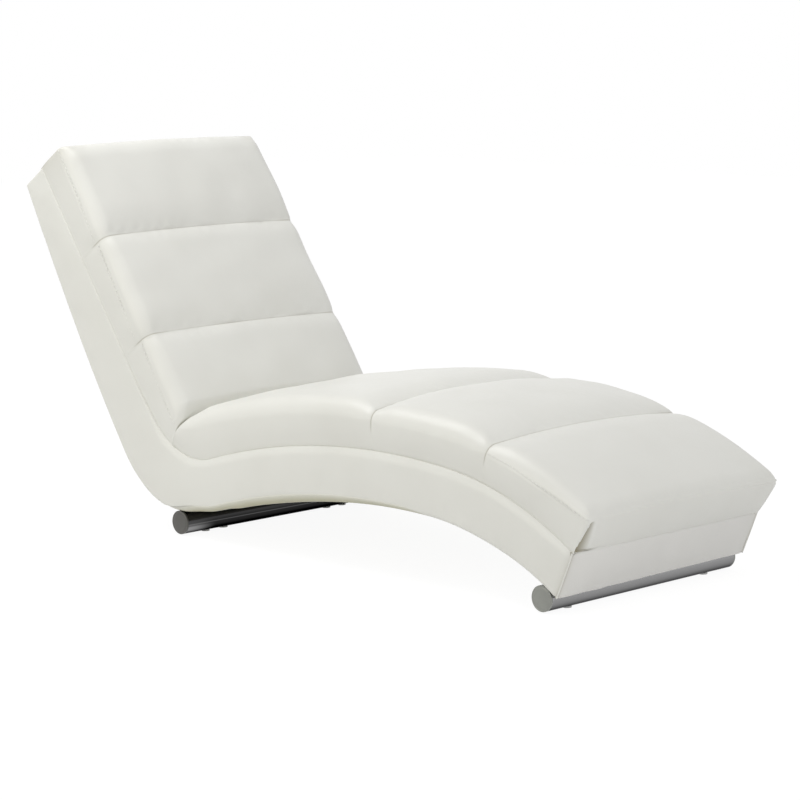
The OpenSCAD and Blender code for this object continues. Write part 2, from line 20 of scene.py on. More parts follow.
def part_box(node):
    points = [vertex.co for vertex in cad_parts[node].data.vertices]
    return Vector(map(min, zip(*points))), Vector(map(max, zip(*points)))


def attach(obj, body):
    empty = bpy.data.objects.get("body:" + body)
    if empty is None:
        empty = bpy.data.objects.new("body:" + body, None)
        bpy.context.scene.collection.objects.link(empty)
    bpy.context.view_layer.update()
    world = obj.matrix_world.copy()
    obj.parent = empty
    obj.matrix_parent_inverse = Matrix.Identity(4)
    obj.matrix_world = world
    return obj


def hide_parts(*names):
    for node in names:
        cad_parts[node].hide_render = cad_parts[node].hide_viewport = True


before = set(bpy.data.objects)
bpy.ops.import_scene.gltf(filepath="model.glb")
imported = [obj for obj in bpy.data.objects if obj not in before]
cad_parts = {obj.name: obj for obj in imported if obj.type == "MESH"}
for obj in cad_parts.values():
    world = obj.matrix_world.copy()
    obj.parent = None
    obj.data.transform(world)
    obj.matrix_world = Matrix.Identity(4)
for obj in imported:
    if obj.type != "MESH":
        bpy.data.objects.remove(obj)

Array = np.ndarray
Socket = bpy.types.NodeSocket
Piece = bpy.types.Object
Pair = tuple[float, float]
Colour = tuple[float, float, float]
Triple = tuple[float, float, float]

MM = 0.001
BODY = "lounger"
LEATHER = "ivory_leather"
log = logging.getLogger("lounger")


# Meshes from whole arrays


def grid_quads(rows: int, cols: int, first: int = 0, round_cols: bool = False) -> Array:
    """Corner numbers of the quads of a grid of points.

    Args:
        rows: number of rows of points.
        cols: number of points in a row.
        first: number of the grid's first point.
        round_cols: whether each row closes on itself.

    Returns:
        An array of four corner numbers a quad.
    """
    i, j = np.meshgrid(np.arange(rows - 1), np.arange(cols if round_cols else cols - 1), indexing="ij")
    a, b = first + i * cols + j, first + i * cols + (j + 1) % cols
    return np.stack([a, a + cols, b + cols, b], -1).reshape(-1, 4)


def fan(ring: Array, pole: int) -> Array:
    """Triangles that close a ring of points on one pole."""
    return np.stack([ring, np.roll(ring, -1), np.full(len(ring), pole)], -1)


def outward(points: Array, faces: list[Array]) -> list[Array]:
    """Turn a closed form's faces so that they point outwards.

    Formula: the signed volume is a sixth of the sum of each triangle's triple product; where it is
    negative, every face's order is reversed.

    Args:
        points: the form's points.
        faces: arrays of faces, each with its own number of corners.

    Returns:
        The faces, reversed or as they were.
    """
    volume = 0.0
    for block in faces:
        for k in range(1, block.shape[1] - 1):
            a, b, c = points[block[:, 0]], points[block[:, k]], points[block[:, k + 1]]
            volume += float((a * np.cross(b, c)).sum())
    return faces if volume > 0 else [block[:, ::-1] for block in faces]


def closed_tube(rings: Array, poles: Array, first: int = 0) -> tuple[Array, list[Array]]:
    """A tube of rings whose two ends are closed on a pole each.

    Args:
        rings: places, rings by points round each ring.
        poles: the two poles' places.
        first: number of the tube's first point.

    Returns:
        The points and the blocks of faces.
    """
    rows, cols = rings.shape[:2]
    ring, pole = first + np.arange(cols), first + rows * cols
    faces = [grid_quads(rows, cols, first, True), fan(ring, pole),
             fan((rows - 1) * cols + ring, pole + 1)[:, ::-1]]
    return np.concatenate([rings.reshape(-1, 3), poles]), faces


def mesh_object(name: str, points: Array, faces: list[Array], closed: bool = True) -> Piece:
    """Make a smooth-shaded object from points in millimetres and blocks of faces.

    Args:
        name: the piece's name.
        points: array of places, in millimetres.
        faces: arrays of faces, each with its own number of corners.
        closed: whether the form is closed, so that its faces are turned outwards.

    Returns:
        The new object, linked to the scene.
    """
    if closed:
        faces = outward(points, faces)
    corners = np.concatenate([block.ravel() for block in faces]).astype(np.int32)
    counts = np.concatenate([np.full(len(block), block.shape[1]) for block in faces])
    starts = np.concatenate([[0], np.cumsum(counts)[:-1]]).astype(np.int32)
    mesh = bpy.data.meshes.new(name)
    mesh.vertices.add(len(points))
    mesh.vertices.foreach_set("co", (points * MM).astype(np.float32).ravel())
    mesh.loops.add(len(corners))
    mesh.loops.foreach_set("vertex_index", corners)
    mesh.polygons.add(len(counts))
    mesh.polygons.foreach_set("loop_start", starts)
    mesh.update(calc_edges=True)
    mesh.polygons.foreach_set("use_smooth", np.ones(len(counts), bool))
    mesh.validate()
    obj = bpy.data.objects.new(name, mesh)
    bpy.context.scene.collection.objects.link(obj)
    return obj


def open_sheet(name: str, grid: Array, way: Triple, thickness: float = 0.0) -> Piece:
    """Make an open sheet from a grid of places in millimetres.

    Args:
        name: the piece's name.
        grid: rows by columns by three.
        way: the way that its area faces on the whole.
        thickness: what a modifier adds behind the faces, in millimetres.

    Returns:
        The sheet's object.
    """
    obj = mesh_object(name, grid.reshape(-1, 3), [grid_quads(*grid.shape[:2])], closed=False)
    mesh = obj.data
    normal = np.zeros(len(mesh.polygons) * 3, np.float32)
    area = np.zeros(len(mesh.polygons), np.float32)
    mesh.polygons.foreach_get("normal", normal)
    mesh.polygons.foreach_get("area", area)
    if (normal.reshape(-1, 3) * area[:, None] @ np.array(way)).sum() < 0:
        mesh.flip_normals()
    if thickness:
        wall = obj.modifiers.new("thickness", "SOLIDIFY")
        wall.thickness, wall.offset = thickness * MM, -1.0
    return obj


def set_uv(obj: Piece, uv: Array) -> None:
    """Give a piece a UV map with one place for each point."""
    layer = obj.data.uv_layers.new(name="along_the_piece")
    index = np.zeros(len(obj.data.loops), np.int32)
    obj.data.loops.foreach_get("vertex_index", index)
    layer.data.foreach_set("uv", uv[index].astype(np.float32).ravel())


def set_painted_shade(obj: Piece, share: Array) -> None:
    """Give each point a painted shade from 0 to 1, by how deep in a fold it lies, for the leather's fold
    colour.
    """
    layer = obj.data.attributes.new("crease", "FLOAT", "POINT")
    layer.data.foreach_set("value", np.clip(share, 0, 1).astype(np.float32).ravel())


def skin_normals(points: Array) -> Array:
    """Outward unit normals of a grid whose rows close on themselves.

    Formula: the cross product of the central differences down the columns and along the rows,
    turned so that it points away from the grid's middle.

    Args:
        points: rows by columns by three.

    Returns:
        An array of the same shape.
    """
    along = np.roll(points, -1, 1) - np.roll(points, 1, 1)
    n = np.cross(np.gradient(points, axis=0), along)
    n = n / np.maximum(np.linalg.norm(n, axis=-1, keepdims=True), 1e-9)
    return -n if ((points - points.mean((0, 1))) * n).sum() < 0 else n


def smooth_step(t: Array) -> Array:
    """A value that eases from 0 to 1 as t goes from 0 to 1."""
    t = np.clip(t, 0.0, 1.0)
    return t * t * (3.0 - 2.0 * t)


def eased(value: Array, span: Pair) -> Array:
    """A value that eases from 0 to 1 over a span."""
    return smooth_step((value - span[0]) / (span[1] - span[0]))


def bell(distance: Array, width: float) -> Array:
    """A bell curve that is 1 at distance 0 and has fallen to 37 percent at the width."""
    return np.exp(-(distance / width) ** 2)


def quarter_round(distance: Array, radius: float | Array) -> Array:
    """How far a quarter circle has dropped at a distance from its edge, as a share of its radius."""
    t = np.clip(1.0 - distance / radius, 0.0, 1.0)
    return 1.0 - np.sqrt(1.0 - t * t)


def soft_valley(distance: Array, reach: float, power: float = 2.0) -> Array:
    """1 at the edge, falling in a soft curve to 0 at the given reach."""
    return np.clip(1 - distance / reach, 0, 1) ** power


def wrinkle(a: Array, b: Array, seed: int, wave: float, count: int = 7) -> Array:
    """A smooth uneven field between about -1 and 1.

    Formula: the mean of a few sine waves of nearby lengths, in directions and phases drawn from a
    seeded generator, scaled up to unit size.

    Args:
        a: first coordinate, in millimetres.
        b: second coordinate, in millimetres.
        seed: seed of the generator.
        wave: the waves' mean length, in millimetres.
        count: number of waves.

    Returns:
        An array shaped like a and b together.
    """
    rng = np.random.default_rng(seed)
    total = np.zeros(np.broadcast(a, b).shape)
    for _ in range(count):
        turn, phase = rng.uniform(0, 2 * math.pi, 2)
        k = 2 * math.pi / (wave * rng.uniform(0.7, 1.5))
        total += np.sin(k * (a * math.cos(turn) + b * math.sin(turn)) + phase)
    return total / math.sqrt(count)


def close_steps(count: int) -> Array:
    """Steps from 0 to 1 that lie closer together near 0."""
    return 1 - np.cos(np.linspace(0, math.pi / 2, count))


def round_turns(count: int) -> Array:
    """Angles of points that lie evenly round a circle."""
    return np.arange(count) * 2 * math.pi / count


def walked(at: Array, walk: Array, values: Array) -> Array:
    """A line's values at lengths along it, column by column."""
    return np.stack([np.interp(at, walk, column) for column in values.T], -1)


# The deck and the base's side view


@dataclass(frozen=True)
class DeckSeam:
    """The line where the cushions meet the base: its drop below the deck and how far in it lies."""

    back_drop: float = 8.0
    back_inset: float = 0.3
    seat_inset: float = 5.5
    foot_inset: float = 4.5
    at_hip: Pair = (560.0, 730.0)
    at_foot: Pair = (1700.0, 1860.0)

    def drop(self, s: Array) -> Array:
        """How far the seam lies below the deck: the same along the back, then none."""
        return self.back_drop * (1 - eased(s, self.at_hip))

    def inset(self, s: Array) -> Array:
        """How far the base's upper edge lies in from its side: little along the back, more elsewhere."""
        hip, foot = self.seat_inset - self.back_inset, self.foot_inset - self.seat_inset
        return self.back_inset + hip * eased(s, self.at_hip) + foot * eased(s, self.at_foot)


SEAM = DeckSeam()


@dataclass(frozen=True)
class Deck:
    """The deck line and the base's depth under it, in millimetres; it leans so that both tubes lie level."""

    back_run: float = 638.0
    hip_r: float = 153.0
    hip_angle: float = 71.9
    seat_r: float = 1708.0
    seat_angle: float = 22.6
    leg_r: float = 738.0
    length: float = 1862.0
    calf_len: float = 250.0
    head_depth: float = 81.0
    hip_depth: float = 135.0
    seat_depth: float = 96.0
    knee_depth: float = 103.0
    foot_depth: float = 97.0
    foot_lean: float = 20.0
    base_w: float = 550.0
    rear_tube_at: float = 752.0
    front_tube_in: float = 15.0
    tube_r: float = 25.0
    seat_gap: float = 0.1
    hip_deepest: float = 0.30
    hip_shallow: float = 1.08
    lean: float = 0.0
    start: Pair = (0.0, 0.0)

    @property
    def hip_run(self) -> float:
        """Length of the hips' arc."""
        return self.hip_r * math.radians(self.hip_angle)

    @property
    def low_length(self) -> float:
        """Length down to the lower edge of the leaning foot end."""
        return self.length + self.foot_lean

    def at(self, s: Array) -> tuple[Array, Array, Array]:
        """Walk the deck to stations s.

        Formula: each stretch is straight or an arc; along an arc the heading grows evenly and the
        place moves by the differences of its sine and cosine over the curvature.

        Args:
            s: stations from the head end.

        Returns:
            The x and z of the deck there and its heading in radians.
        """
        s = np.asarray(s, float)
        seat = self.seat_r * math.radians(self.seat_angle)
        rest = self.length - self.back_run - self.hip_run - seat
        runs = [(self.back_run, 0.0), (self.hip_run, 1 / self.hip_r), (seat, -1 / self.seat_r),
                (rest, -1 / self.leg_r)]
        x, z = np.full(s.shape, self.start[0]), np.full(s.shape, self.start[1])
        a, begin = np.full(s.shape, self.lean), 0.0
        for i, (run, bend) in enumerate(runs):
            t = np.clip(s - begin, -np.inf if i == 0 else 0.0, np.inf if i == len(runs) - 1 else run)
            if bend:
                x = x + (np.sin(a + bend * t) - np.sin(a)) / bend
                z = z + (np.cos(a) - np.cos(a + bend * t)) / bend
            else:
                x, z = x + t * np.cos(a), z + t * np.sin(a)
            a, begin = a + bend * t, begin + run
        return x, z, a

    def place(self, s: Array, y: Array, h: Array) -> Array:
        """Places at stations s, across the width at y and at heights h off the deck, as triples."""
        x, z, a = self.at(s)
        return np.stack(np.broadcast_arrays(x - h * np.sin(a), y, z + h * np.cos(a)), -1)

    def depth(self, s: Array) -> Array:
        """Depth of the base under the deck.

        Formula: a quarter sine wave grows it from the head end to the hips, and half cosine waves
        ease it to the seat, the knees and the foot end.

        Args:
            s: stations from the head end.

        Returns:
            The depths at those stations.
        """
        s = np.asarray(s, float)
        deepest, shallow = (self.back_run + share * self.hip_run
                            for share in (self.hip_deepest, self.hip_shallow))
        knee = self.length - self.calf_len
        grown = self.head_depth + (self.hip_depth - self.head_depth) * np.sin(
            math.pi / 2 * np.clip(s / deepest, 0, 1))
        stops = [(deepest, shallow, self.hip_depth, self.seat_depth),
                 (shallow, knee, self.seat_depth, self.knee_depth),
                 (knee, self.length, self.knee_depth, self.foot_depth)]
        for a, b, low, high in stops:
            wave = (1 - np.cos(math.pi * np.clip((s - a) / (b - a), 0, 1))) / 2
            grown = np.where(s >= a, low + (high - low) * wave, grown)
        return grown

    def tube_centre(self, s: float) -> Array:
        """Centre (x, z) of a floor tube that touches the underside at station s."""
        low = [self.place(np.array(k), 0.0, -self.depth(k))[[0, 2]] for k in (s - 1.0, s, s + 1.0)]
        d = low[2] - low[0]
        d /= np.linalg.norm(d)
        return low[1] + (self.tube_r + self.seat_gap) * np.array([d[1], -d[0]])

    def levelled(self, rear: Array, front: Array) -> Deck:
        """The same deck set on its two floor tubes.

        Formula: the lean is the turn from the run between the tubes on a level deck to the real run,
        and the start follows from the rear tube's place.

        Args:
            rear: the rear tube's centre, x and z.
            front: the front tube's centre.

        Returns:
            The deck in its real place.
        """
        a = self.tube_centre(self.rear_tube_at)
        run, real = self.tube_centre(self.length - self.front_tube_in) - a, front - rear
        lean = math.atan2(real[1], real[0]) - math.atan2(run[1], run[0])
        c, s = math.cos(lean), math.sin(lean)
        start = rear - np.array([c * a[0] - s * a[1], s * a[0] + c * a[1]])
        fields = {**self.__dict__, "lean": lean, "start": (float(start[0]), float(start[1]))}
        return Deck(**fields)


# Finishes


@dataclass(frozen=True)
class Nodes:
    """A node tree and the ways to add to it."""

    tree: bpy.types.NodeTree

    def link(self, source: Socket, target: Socket) -> None:
        """Link one socket to another."""
        self.tree.links.new(source, target)

    def add(self, kind: str, values: dict | None = None, **props) -> bpy.types.Node:
        """Add a node.

        Args:
            kind: the node's type name, without ShaderNode.
            values: input values by input name or number.
            props: the node's own properties.

        Returns:
            The new node.
        """
        made = self.tree.nodes.new("ShaderNode" + kind)
        for key, value in props.items():
            setattr(made, key, value)
        for key, value in (values or {}).items():
            made.inputs[key].default_value = value
        return made

    def place(self) -> Socket:
        """The socket of the Object coordinates."""
        return self.add("TexCoord").outputs["Object"]

    def drawn_out(self, place: Socket, stretch: Triple = (1.0, 0.02, 1.0)) -> Socket:
        """The coordinates with a pattern drawn out, along the width unless told otherwise."""
        made = self.add("Mapping", {"Scale": stretch})
        self.link(place, made.inputs["Vector"])
        return made.outputs["Vector"]

    def noise(self, place: Socket, scale: float, detail: float = 2.0, rough: float = 0.5) -> Socket:
        """A noise texture's value at a place.

        Args:
            place: the coordinates' socket.
            scale: waves a metre.
            detail: number of finer layers.
            rough: how much of the finer layers shows.

        Returns:
            The socket with values round a half.
        """
        made = self.add("TexNoise", {"Scale": scale, "Detail": detail, "Roughness": rough})
        self.link(place, made.inputs["Vector"])
        return made.outputs["Fac"]

    def ramp(self, value: Socket, stops: list[tuple[float, Colour]]) -> Socket:
        """Colours along a value.

        Args:
            value: the socket that picks the colour.
            stops: pairs of a place from 0 to 1 and a colour.

        Returns:
            The colour's socket.
        """
        made = self.add("ValToRGB")
        bar = made.color_ramp
        while len(bar.elements) < len(stops):
            bar.elements.new(0.5)
        for element, (place, colour) in zip(bar.elements, stops):
            element.position, element.color = place, (*colour, 1.0)
        self.link(value, made.inputs["Fac"])
        return made.outputs["Color"]

    def mixed(self, share: Socket, first: Socket, second: Socket | Colour) -> Socket:
        """The mix of two colours.

        Args:
            share: how much of the second shows.
            first: the first colour's socket.
            second: the second colour or its socket.

        Returns:
            The mixed colour's socket.
        """
        made = self.add("Mix", data_type="RGBA")
        self.link(share, made.inputs[0])
        self.link(first, made.inputs[6])
        if isinstance(second, tuple):
            made.inputs[7].default_value = (*second, 1.0)
        else:
            self.link(second, made.inputs[7])
        return made.outputs[2]

    def maths(self, operation: str, a: Socket | float, b: Socket | float = 0.0) -> Socket:
        """The result of one sum of two sockets or numbers.

        Args:
            operation: Blender's name of the sum.
            a: first socket or number.
            b: second socket or number.

        Returns:
            The result's socket.
        """
        made = self.add("Math", operation=operation)
        for i, value in enumerate((a, b)):
            if isinstance(value, (int, float)):
                made.inputs[i].default_value = value
            else:
                self.link(value, made.inputs[i])
        return made.outputs[0]

    def bump(self, height: Socket, distance: float, strength: float = 1.0,
             under: Socket | None = None) -> Socket:
        """A bumped normal.

        Args:
            height: the socket of the height, 0 to 1.
            distance: what a height of 1 stands for, in metres.
            strength: share of the bump that shows.
            under: the normal of a coarser bump below.

        Returns:
            The normal's socket.
        """
        made = self.add("Bump", {"Strength": strength, "Distance": distance})
        self.link(height, made.inputs["Height"])
        if under is not None:
            self.link(under, made.inputs["Normal"])
        return made.outputs["Normal"]

    def roughness(self, value: Socket, low: float, high: float) -> Socket:
        """A roughness that follows a value round a half, from low to high."""
        made = self.add("MapRange", {"From Min": 0.3, "From Max": 0.7, "To Min": low, "To Max": high})
        self.link(value, made.inputs["Value"])
        return made.outputs["Result"]

    def finish(self, shader: bpy.types.Node, colour: Socket, normal: Socket, rough: Socket) -> None:
        """Link a finish's colour, normal and roughness to its shader.

        Args:
            shader: the Principled shader.
            colour: the base colour's socket.
            normal: the bumped normal's socket.
            rough: the roughness's socket.
        """
        for name, socket in (("Base Color", colour), ("Normal", normal), ("Roughness", rough)):
            self.link(socket, shader.inputs[name])


def new_material(name: str) -> tuple[bpy.types.Material, Nodes, bpy.types.Node]:
    """A material with nodes, its tree and its Principled shader."""
    mat = bpy.data.materials.new(name)
    mat.use_nodes = True
    return mat, Nodes(mat.node_tree), mat.node_tree.nodes["Principled BSDF"]


@dataclass(frozen=True)
class Leather:
    """Smooth coated leather: pale colour with faint clouding, fine pebbled grain and soft creases."""

    name: str
    pale: Colour = (0.80, 0.797, 0.752)
    deep: Colour = (0.775, 0.771, 0.724)
    gloss: Pair = (0.33, 0.42)
    grain: float = 620.0
    grain_height: float = 0.00010
    crease_height: float = 0.0006
    # fold: the warm colour painted in as shade where a point's crease attribute is high.
    fold: Colour = (0.26, 0.225, 0.135)
    clouds: float = 6.0
    creases: float = 34.0
    wear: float = 90.0

    def make(self) -> bpy.types.Material:
        """Build the material: it mixes its warm fold colour in as painted shade where the piece's crease
        attribute is high.

        Returns:
            The finished material.
        """
        mat, tree, shader = new_material(self.name)
        place = tree.place()
        cloud = tree.noise(place, self.clouds, 3.0)
        face = tree.ramp(cloud, [(0.30, self.deep), (0.62, self.pale)])
        # The crease attribute holds how much painted shade each point gets.
        painted_shade = tree.add("Attribute", attribute_name="crease")
        cells = tree.add("TexVoronoi", {"Scale": self.grain, "Randomness": 0.9}, feature="SMOOTH_F1")
        tree.link(place, cells.inputs["Vector"])
        crease = tree.bump(tree.noise(place, self.creases, 3.0, 0.45), self.crease_height, 0.5)
        fine = tree.bump(cells.outputs["Distance"], self.grain_height, 0.6, crease)
        tree.finish(shader, tree.mixed(painted_shade.outputs["Fac"], face, self.fold), fine,
                    tree.roughness(tree.noise(place, self.wear), *self.gloss))
        shader.inputs["Specular IOR Level"].default_value = 0.5
        shader.inputs["Subsurface Weight"].default_value = 0.0
        return mat


@dataclass(frozen=True)
class Thread:
    """Twisted sewing thread."""

    name: str = "sewing_thread"
    colour: Colour = (0.94, 0.93, 0.89)
    shade: float = 0.8
    twist: float = 420.0
    twist_height: float = 0.0002
    rough: float = 0.6

    def make(self) -> bpy.types.Material:
        """Build the material from slanting waves for the twist.

        Returns:
            The finished material.
        """
        mat, tree, shader = new_material(self.name)
        place = tree.place()
        wave = tree.add("TexWave", {"Scale": self.twist, "Distortion": 1.0}, bands_direction="DIAGONAL")
        tree.link(place, wave.inputs["Vector"])
        shade = tuple(self.shade * c for c in self.colour)
        colour = tree.ramp(wave.outputs["Fac"], [(0.2, shade), (0.8, self.colour)])
        tree.link(colour, shader.inputs["Base Color"])
        tree.link(tree.bump(wave.outputs["Fac"], self.twist_height), shader.inputs["Normal"])
        shader.inputs["Roughness"].default_value = self.rough
        return mat


@dataclass(frozen=True)
class Metal:
    """Plated or brushed metal with fine lines along the width and faint clouding."""

    name: str
    bright: Colour
    dull: Colour
    gloss: Pair
    metallic: float = 1.0
    lines: float = 900.0
    line_height: float = 0.000012
    clouds: float = 25.0

    def make(self) -> bpy.types.Material:
        """Build the material; the lines are noise drawn out along the width.

        Returns:
            The finished material.
        """
        mat, tree, shader = new_material(self.name)
        place = tree.place()
        streak = tree.noise(tree.drawn_out(place), self.lines)
        cloud = tree.ramp(tree.noise(place, self.clouds, 3.0), [(0.35, self.dull), (0.60, self.bright)])
        tree.finish(shader, cloud, tree.bump(streak, self.line_height), tree.roughness(streak, *self.gloss))
        shader.inputs["Metallic"].default_value = self.metallic
        return mat


@dataclass(frozen=True)
class Chrome:
    """Chromed tube whose base colour paints its reflections: painted reflection bands by height, other ones
    near the right-hand end, and dark painted shade along the rear tube.
    """

    name: str
    # Painted reflections: bands of height share and grey for each tube, the rear ones dark as painted shade,
    # then painted highlights near the right-hand end.
    front: tuple[Pair, ...]
    front_near_painted_reflection: tuple[Pair, ...]
    rear: tuple[Pair, ...]
    rear_near_painted_reflection: tuple[Pair, ...]
    gloss: Pair
    full_height: float = 0.056
    between: float = 0.1
    front_fade: Pair = (0.262, 0.270)
    rear_fade: Pair = (0.185, 0.262)
    edge: float = 0.3
    tint: float = 1.01
    wave: float = 0.03
    wave_scale: float = 5.0
    lines: float = 700.0
    line_height: float = 0.000008

    def make(self) -> bpy.types.Material:
        """Build the material; the painted reflection bands are ramps over the height off the floor, waved a
        little by noise.

        Returns:
            The finished material.
        """
        mat, tree, shader = new_material(self.name)
        place = tree.place()
        streak = tree.noise(tree.drawn_out(place), self.lines)
        parts = tree.add("SeparateXYZ")
        tree.link(place, parts.inputs[0])
        uneven = tree.maths("SUBTRACT", tree.noise(place, self.wave_scale), 0.5)
        wave = tree.maths("MULTIPLY", uneven, self.wave)
        share = tree.maths("ADD", tree.maths("DIVIDE", parts.outputs["Z"], self.full_height), wave)
        right = tree.maths("MULTIPLY", parts.outputs["Y"], -1.0)
        ends = []
        # For each tube: its painted reflection bands, then the painted highlights near its right-hand end,
        # mixed by the place along Y.
        for far, mouth, fade in ((self.front, self.front_near_painted_reflection, self.front_fade),
                                 (self.rear, self.rear_near_painted_reflection, self.rear_fade)):
            both = [tree.ramp(share, [(at, (v, v, v * self.tint)) for at, v in bands])
                    for bands in (far, mouth)]
            near = tree.add("MapRange", {"From Min": fade[0], "From Max": fade[1]},
                        interpolation_type="SMOOTHSTEP")
            tree.link(right, near.inputs["Value"])
            ends.append(tree.mixed(near.outputs["Result"], *both))
        rear = tree.maths("LESS_THAN", parts.outputs["X"], -self.between)
        tree.finish(shader, tree.mixed(rear, *ends), tree.bump(streak, self.line_height),
                    tree.roughness(streak, *self.gloss))
        shader.inputs["Metallic"].default_value = 1.0
        shader.inputs["Specular Tint"].default_value = (self.edge, self.edge, self.edge, 1.0)
        return mat


@dataclass(frozen=True)
class Wood:
    """Timber or plywood: grain drawn out along the long way, with darker lines."""

    name: str
    light: Colour
    dark: Colour
    stretch: Triple
    rings: float = 55.0
    bend: float = 5.0
    fibres: float = 420.0
    fibre_share: float = 0.4
    fibre_height: float = 0.0003
    gloss: Pair = (0.55, 0.75)

    def make(self) -> bpy.types.Material:
        """Build the material from stretched noise that bends a set of bands.

        Returns:
            The finished material.
        """
        mat, tree, shader = new_material(self.name)
        place = tree.place()
        drawn = tree.drawn_out(place, self.stretch)
        bands = tree.add("TexWave", {"Scale": self.rings, "Distortion": self.bend, "Detail": 3.0,
                                       "Detail Scale": 1.4}, bands_direction="Z")
        tree.link(drawn, bands.inputs["Vector"])
        fibre = tree.noise(drawn, self.fibres, 3.0)
        both = tree.maths("ADD", tree.maths("MULTIPLY", bands.outputs["Fac"], 1 - self.fibre_share),
                          tree.maths("MULTIPLY", fibre, self.fibre_share))
        tree.finish(shader, tree.ramp(both, [(0.25, self.dark), (0.65, self.light)]),
                    tree.bump(fibre, self.fibre_height), tree.roughness(fibre, *self.gloss))
        return mat


@dataclass(frozen=True)
class Woven:
    """Woven cloth or webbing that follows the piece's own UV map, in metres."""

    name: str
    light: Colour
    dark: Colour
    across: float
    along: float
    height: float = 0.0003
    unevenness: float = 0.3
    wear: float = 300.0
    gloss: Pair = (0.75, 0.9)

    def make(self) -> bpy.types.Material:
        """Build the material from two crossing sets of bands.

        Returns:
            The finished material.
        """
        mat, tree, shader = new_material(self.name)
        place = tree.add("TexCoord").outputs["UV"]
        threads = []
        for scale, way in ((self.across, "X"), (self.along, "Y")):
            wave = tree.add("TexWave", {"Scale": scale, "Distortion": self.unevenness}, bands_direction=way)
            tree.link(place, wave.inputs["Vector"])
            threads.append(wave.outputs["Fac"])
        both = tree.maths("MULTIPLY", *threads)
        tree.finish(shader, tree.ramp(both, [(0.1, self.dark), (0.7, self.light)]),
                    tree.bump(both, self.height), tree.roughness(tree.noise(place, self.wear), *self.gloss))
        return mat


@dataclass(frozen=True)
class Nylon:
    """Moulded nylon with a fine satin texture."""

    name: str
    colour: Colour
    gloss: Pair = (0.4, 0.55)
    shade: float = 0.75
    satin: float = 1500.0
    satin_height: float = 0.00006
    clouds: float = 60.0

    def make(self) -> bpy.types.Material:
        """Build the material.

        Returns:
            The finished material.
        """
        mat, tree, shader = new_material(self.name)
        place = tree.place()
        fine, cloud = tree.noise(place, self.satin), tree.noise(place, self.clouds)
        shade = tuple(self.shade * c for c in self.colour)
        tree.finish(shader, tree.ramp(cloud, [(0.35, shade), (0.6, self.colour)]),
                    tree.bump(fine, self.satin_height), tree.roughness(cloud, *self.gloss))
        return mat


class Finish(Enum):
    """The finishes that the lounger's pieces wear."""

    CUSHION_LEATHER = Leather("cushion_leather")
    BASE_LEATHER = Leather("base_leather")
    # A copy of the leather, a little pinker and less yellow: painted shade tone for the foot face.
    FOOT_LEATHER = Leather("foot_leather", pale=(0.80, 0.79, 0.758), deep=(0.775, 0.765, 0.734))
    # Its fold colour, darker and olive, is the painted shade on the underside's roll.
    UNDERSIDE_LEATHER = Leather("underside_leather", fold=(0.425, 0.41, 0.262))
    THREAD = Thread()
    # Painted reflections: grey bands by height for the front tube, near-black bands as painted shade on the
    # rear tube under the seat, and brighter painted highlights and reflections near each tube's right-hand
    # end.
    CHROME = Chrome(
        "chromed_tube",
        ((0.04, 0.12), (0.10, 0.14), (0.20, 0.20), (0.30, 0.24), (0.45, 0.27), (0.60, 0.32), (0.75, 0.36),
         (0.92, 0.45)),
        ((0.08, 0.12), (0.30, 0.65), (0.55, 0.80), (0.75, 0.70), (0.92, 0.45)),
        ((0.03, 0.011), (0.12, 0.026), (0.24, 0.020), (0.395, 0.022), (0.42, 0.11), (0.445, 0.020),
         (0.55, 0.040), (0.66, 0.045), (0.76, 0.022), (0.92, 0.012)),
        ((0.03, 0.036), (0.14, 0.18), (0.22, 0.29), (0.32, 0.26), (0.38, 0.10), (0.42, 0.17),
         (0.455, 0.070), (0.60, 0.065), (0.80, 0.070), (0.93, 0.015)),
        (0.10, 0.16))
    SATIN_CAP = Metal("satin_end_cap", (0.28, 0.285, 0.262), (0.25, 0.255, 0.235), (0.34, 0.42), 0.5)
    # A darker copy of the satin cap: painted shade for the rear caps under the seat.
    REAR_CAP = Metal("rear_end_cap", (0.115, 0.112, 0.105), (0.10, 0.098, 0.09), (0.34, 0.42), 0.5)
    ZINC = Metal("zinc_plate", (0.62, 0.63, 0.64), (0.52, 0.53, 0.55), (0.25, 0.4))
    PLYWOOD = Wood("plywood", (0.74, 0.58, 0.38), (0.58, 0.42, 0.25), (0.35, 1.0, 1.0), 40.0)
    TIMBER = Wood("rail_timber", (0.72, 0.55, 0.34), (0.54, 0.38, 0.21), (1.0, 0.08, 1.0), 55.0)
    WEBBING = Woven("elastic_strap", (0.14, 0.14, 0.145), (0.035, 0.035, 0.037), 40.0, 220.0)
    LINING = Woven("lining_cloth", (0.035, 0.035, 0.037), (0.012, 0.012, 0.013), 260.0, 260.0)
    NYLON = Nylon("grey_nylon", (0.66, 0.66, 0.65))


@dataclass
class Wardrobe:
    """Makes each finish once and hands it out."""

    made: dict[Finish, bpy.types.Material] = field(default_factory=dict)

    def dress(self, obj: Piece, finish: Finish) -> None:
        """Give a piece one finish, in place of what it wears.

        Args:
            obj: the piece.
            finish: its finish.
        """
        if finish not in self.made:
            self.made[finish] = finish.value.make()
        obj.data.materials.clear()
        obj.data.materials.append(self.made[finish])

    def put_on(self, obj: Piece, finish: Finish, slot: str, *nodes: str) -> None:
        """Dress a piece, let it ride on the lounger, hide the CAD nodes that it stands for, and report it.

        Args:
            obj: the piece.
            finish: its finish.
            slot: the material slot's name; it is not used.
            nodes: the CAD nodes that it stands for.
        """
        self.dress(obj, finish)
        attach(obj, BODY)
        if nodes:
            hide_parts(*nodes)
        log.info("%s: %d faces", obj.name, len(obj.data.polygons))


# Cushions


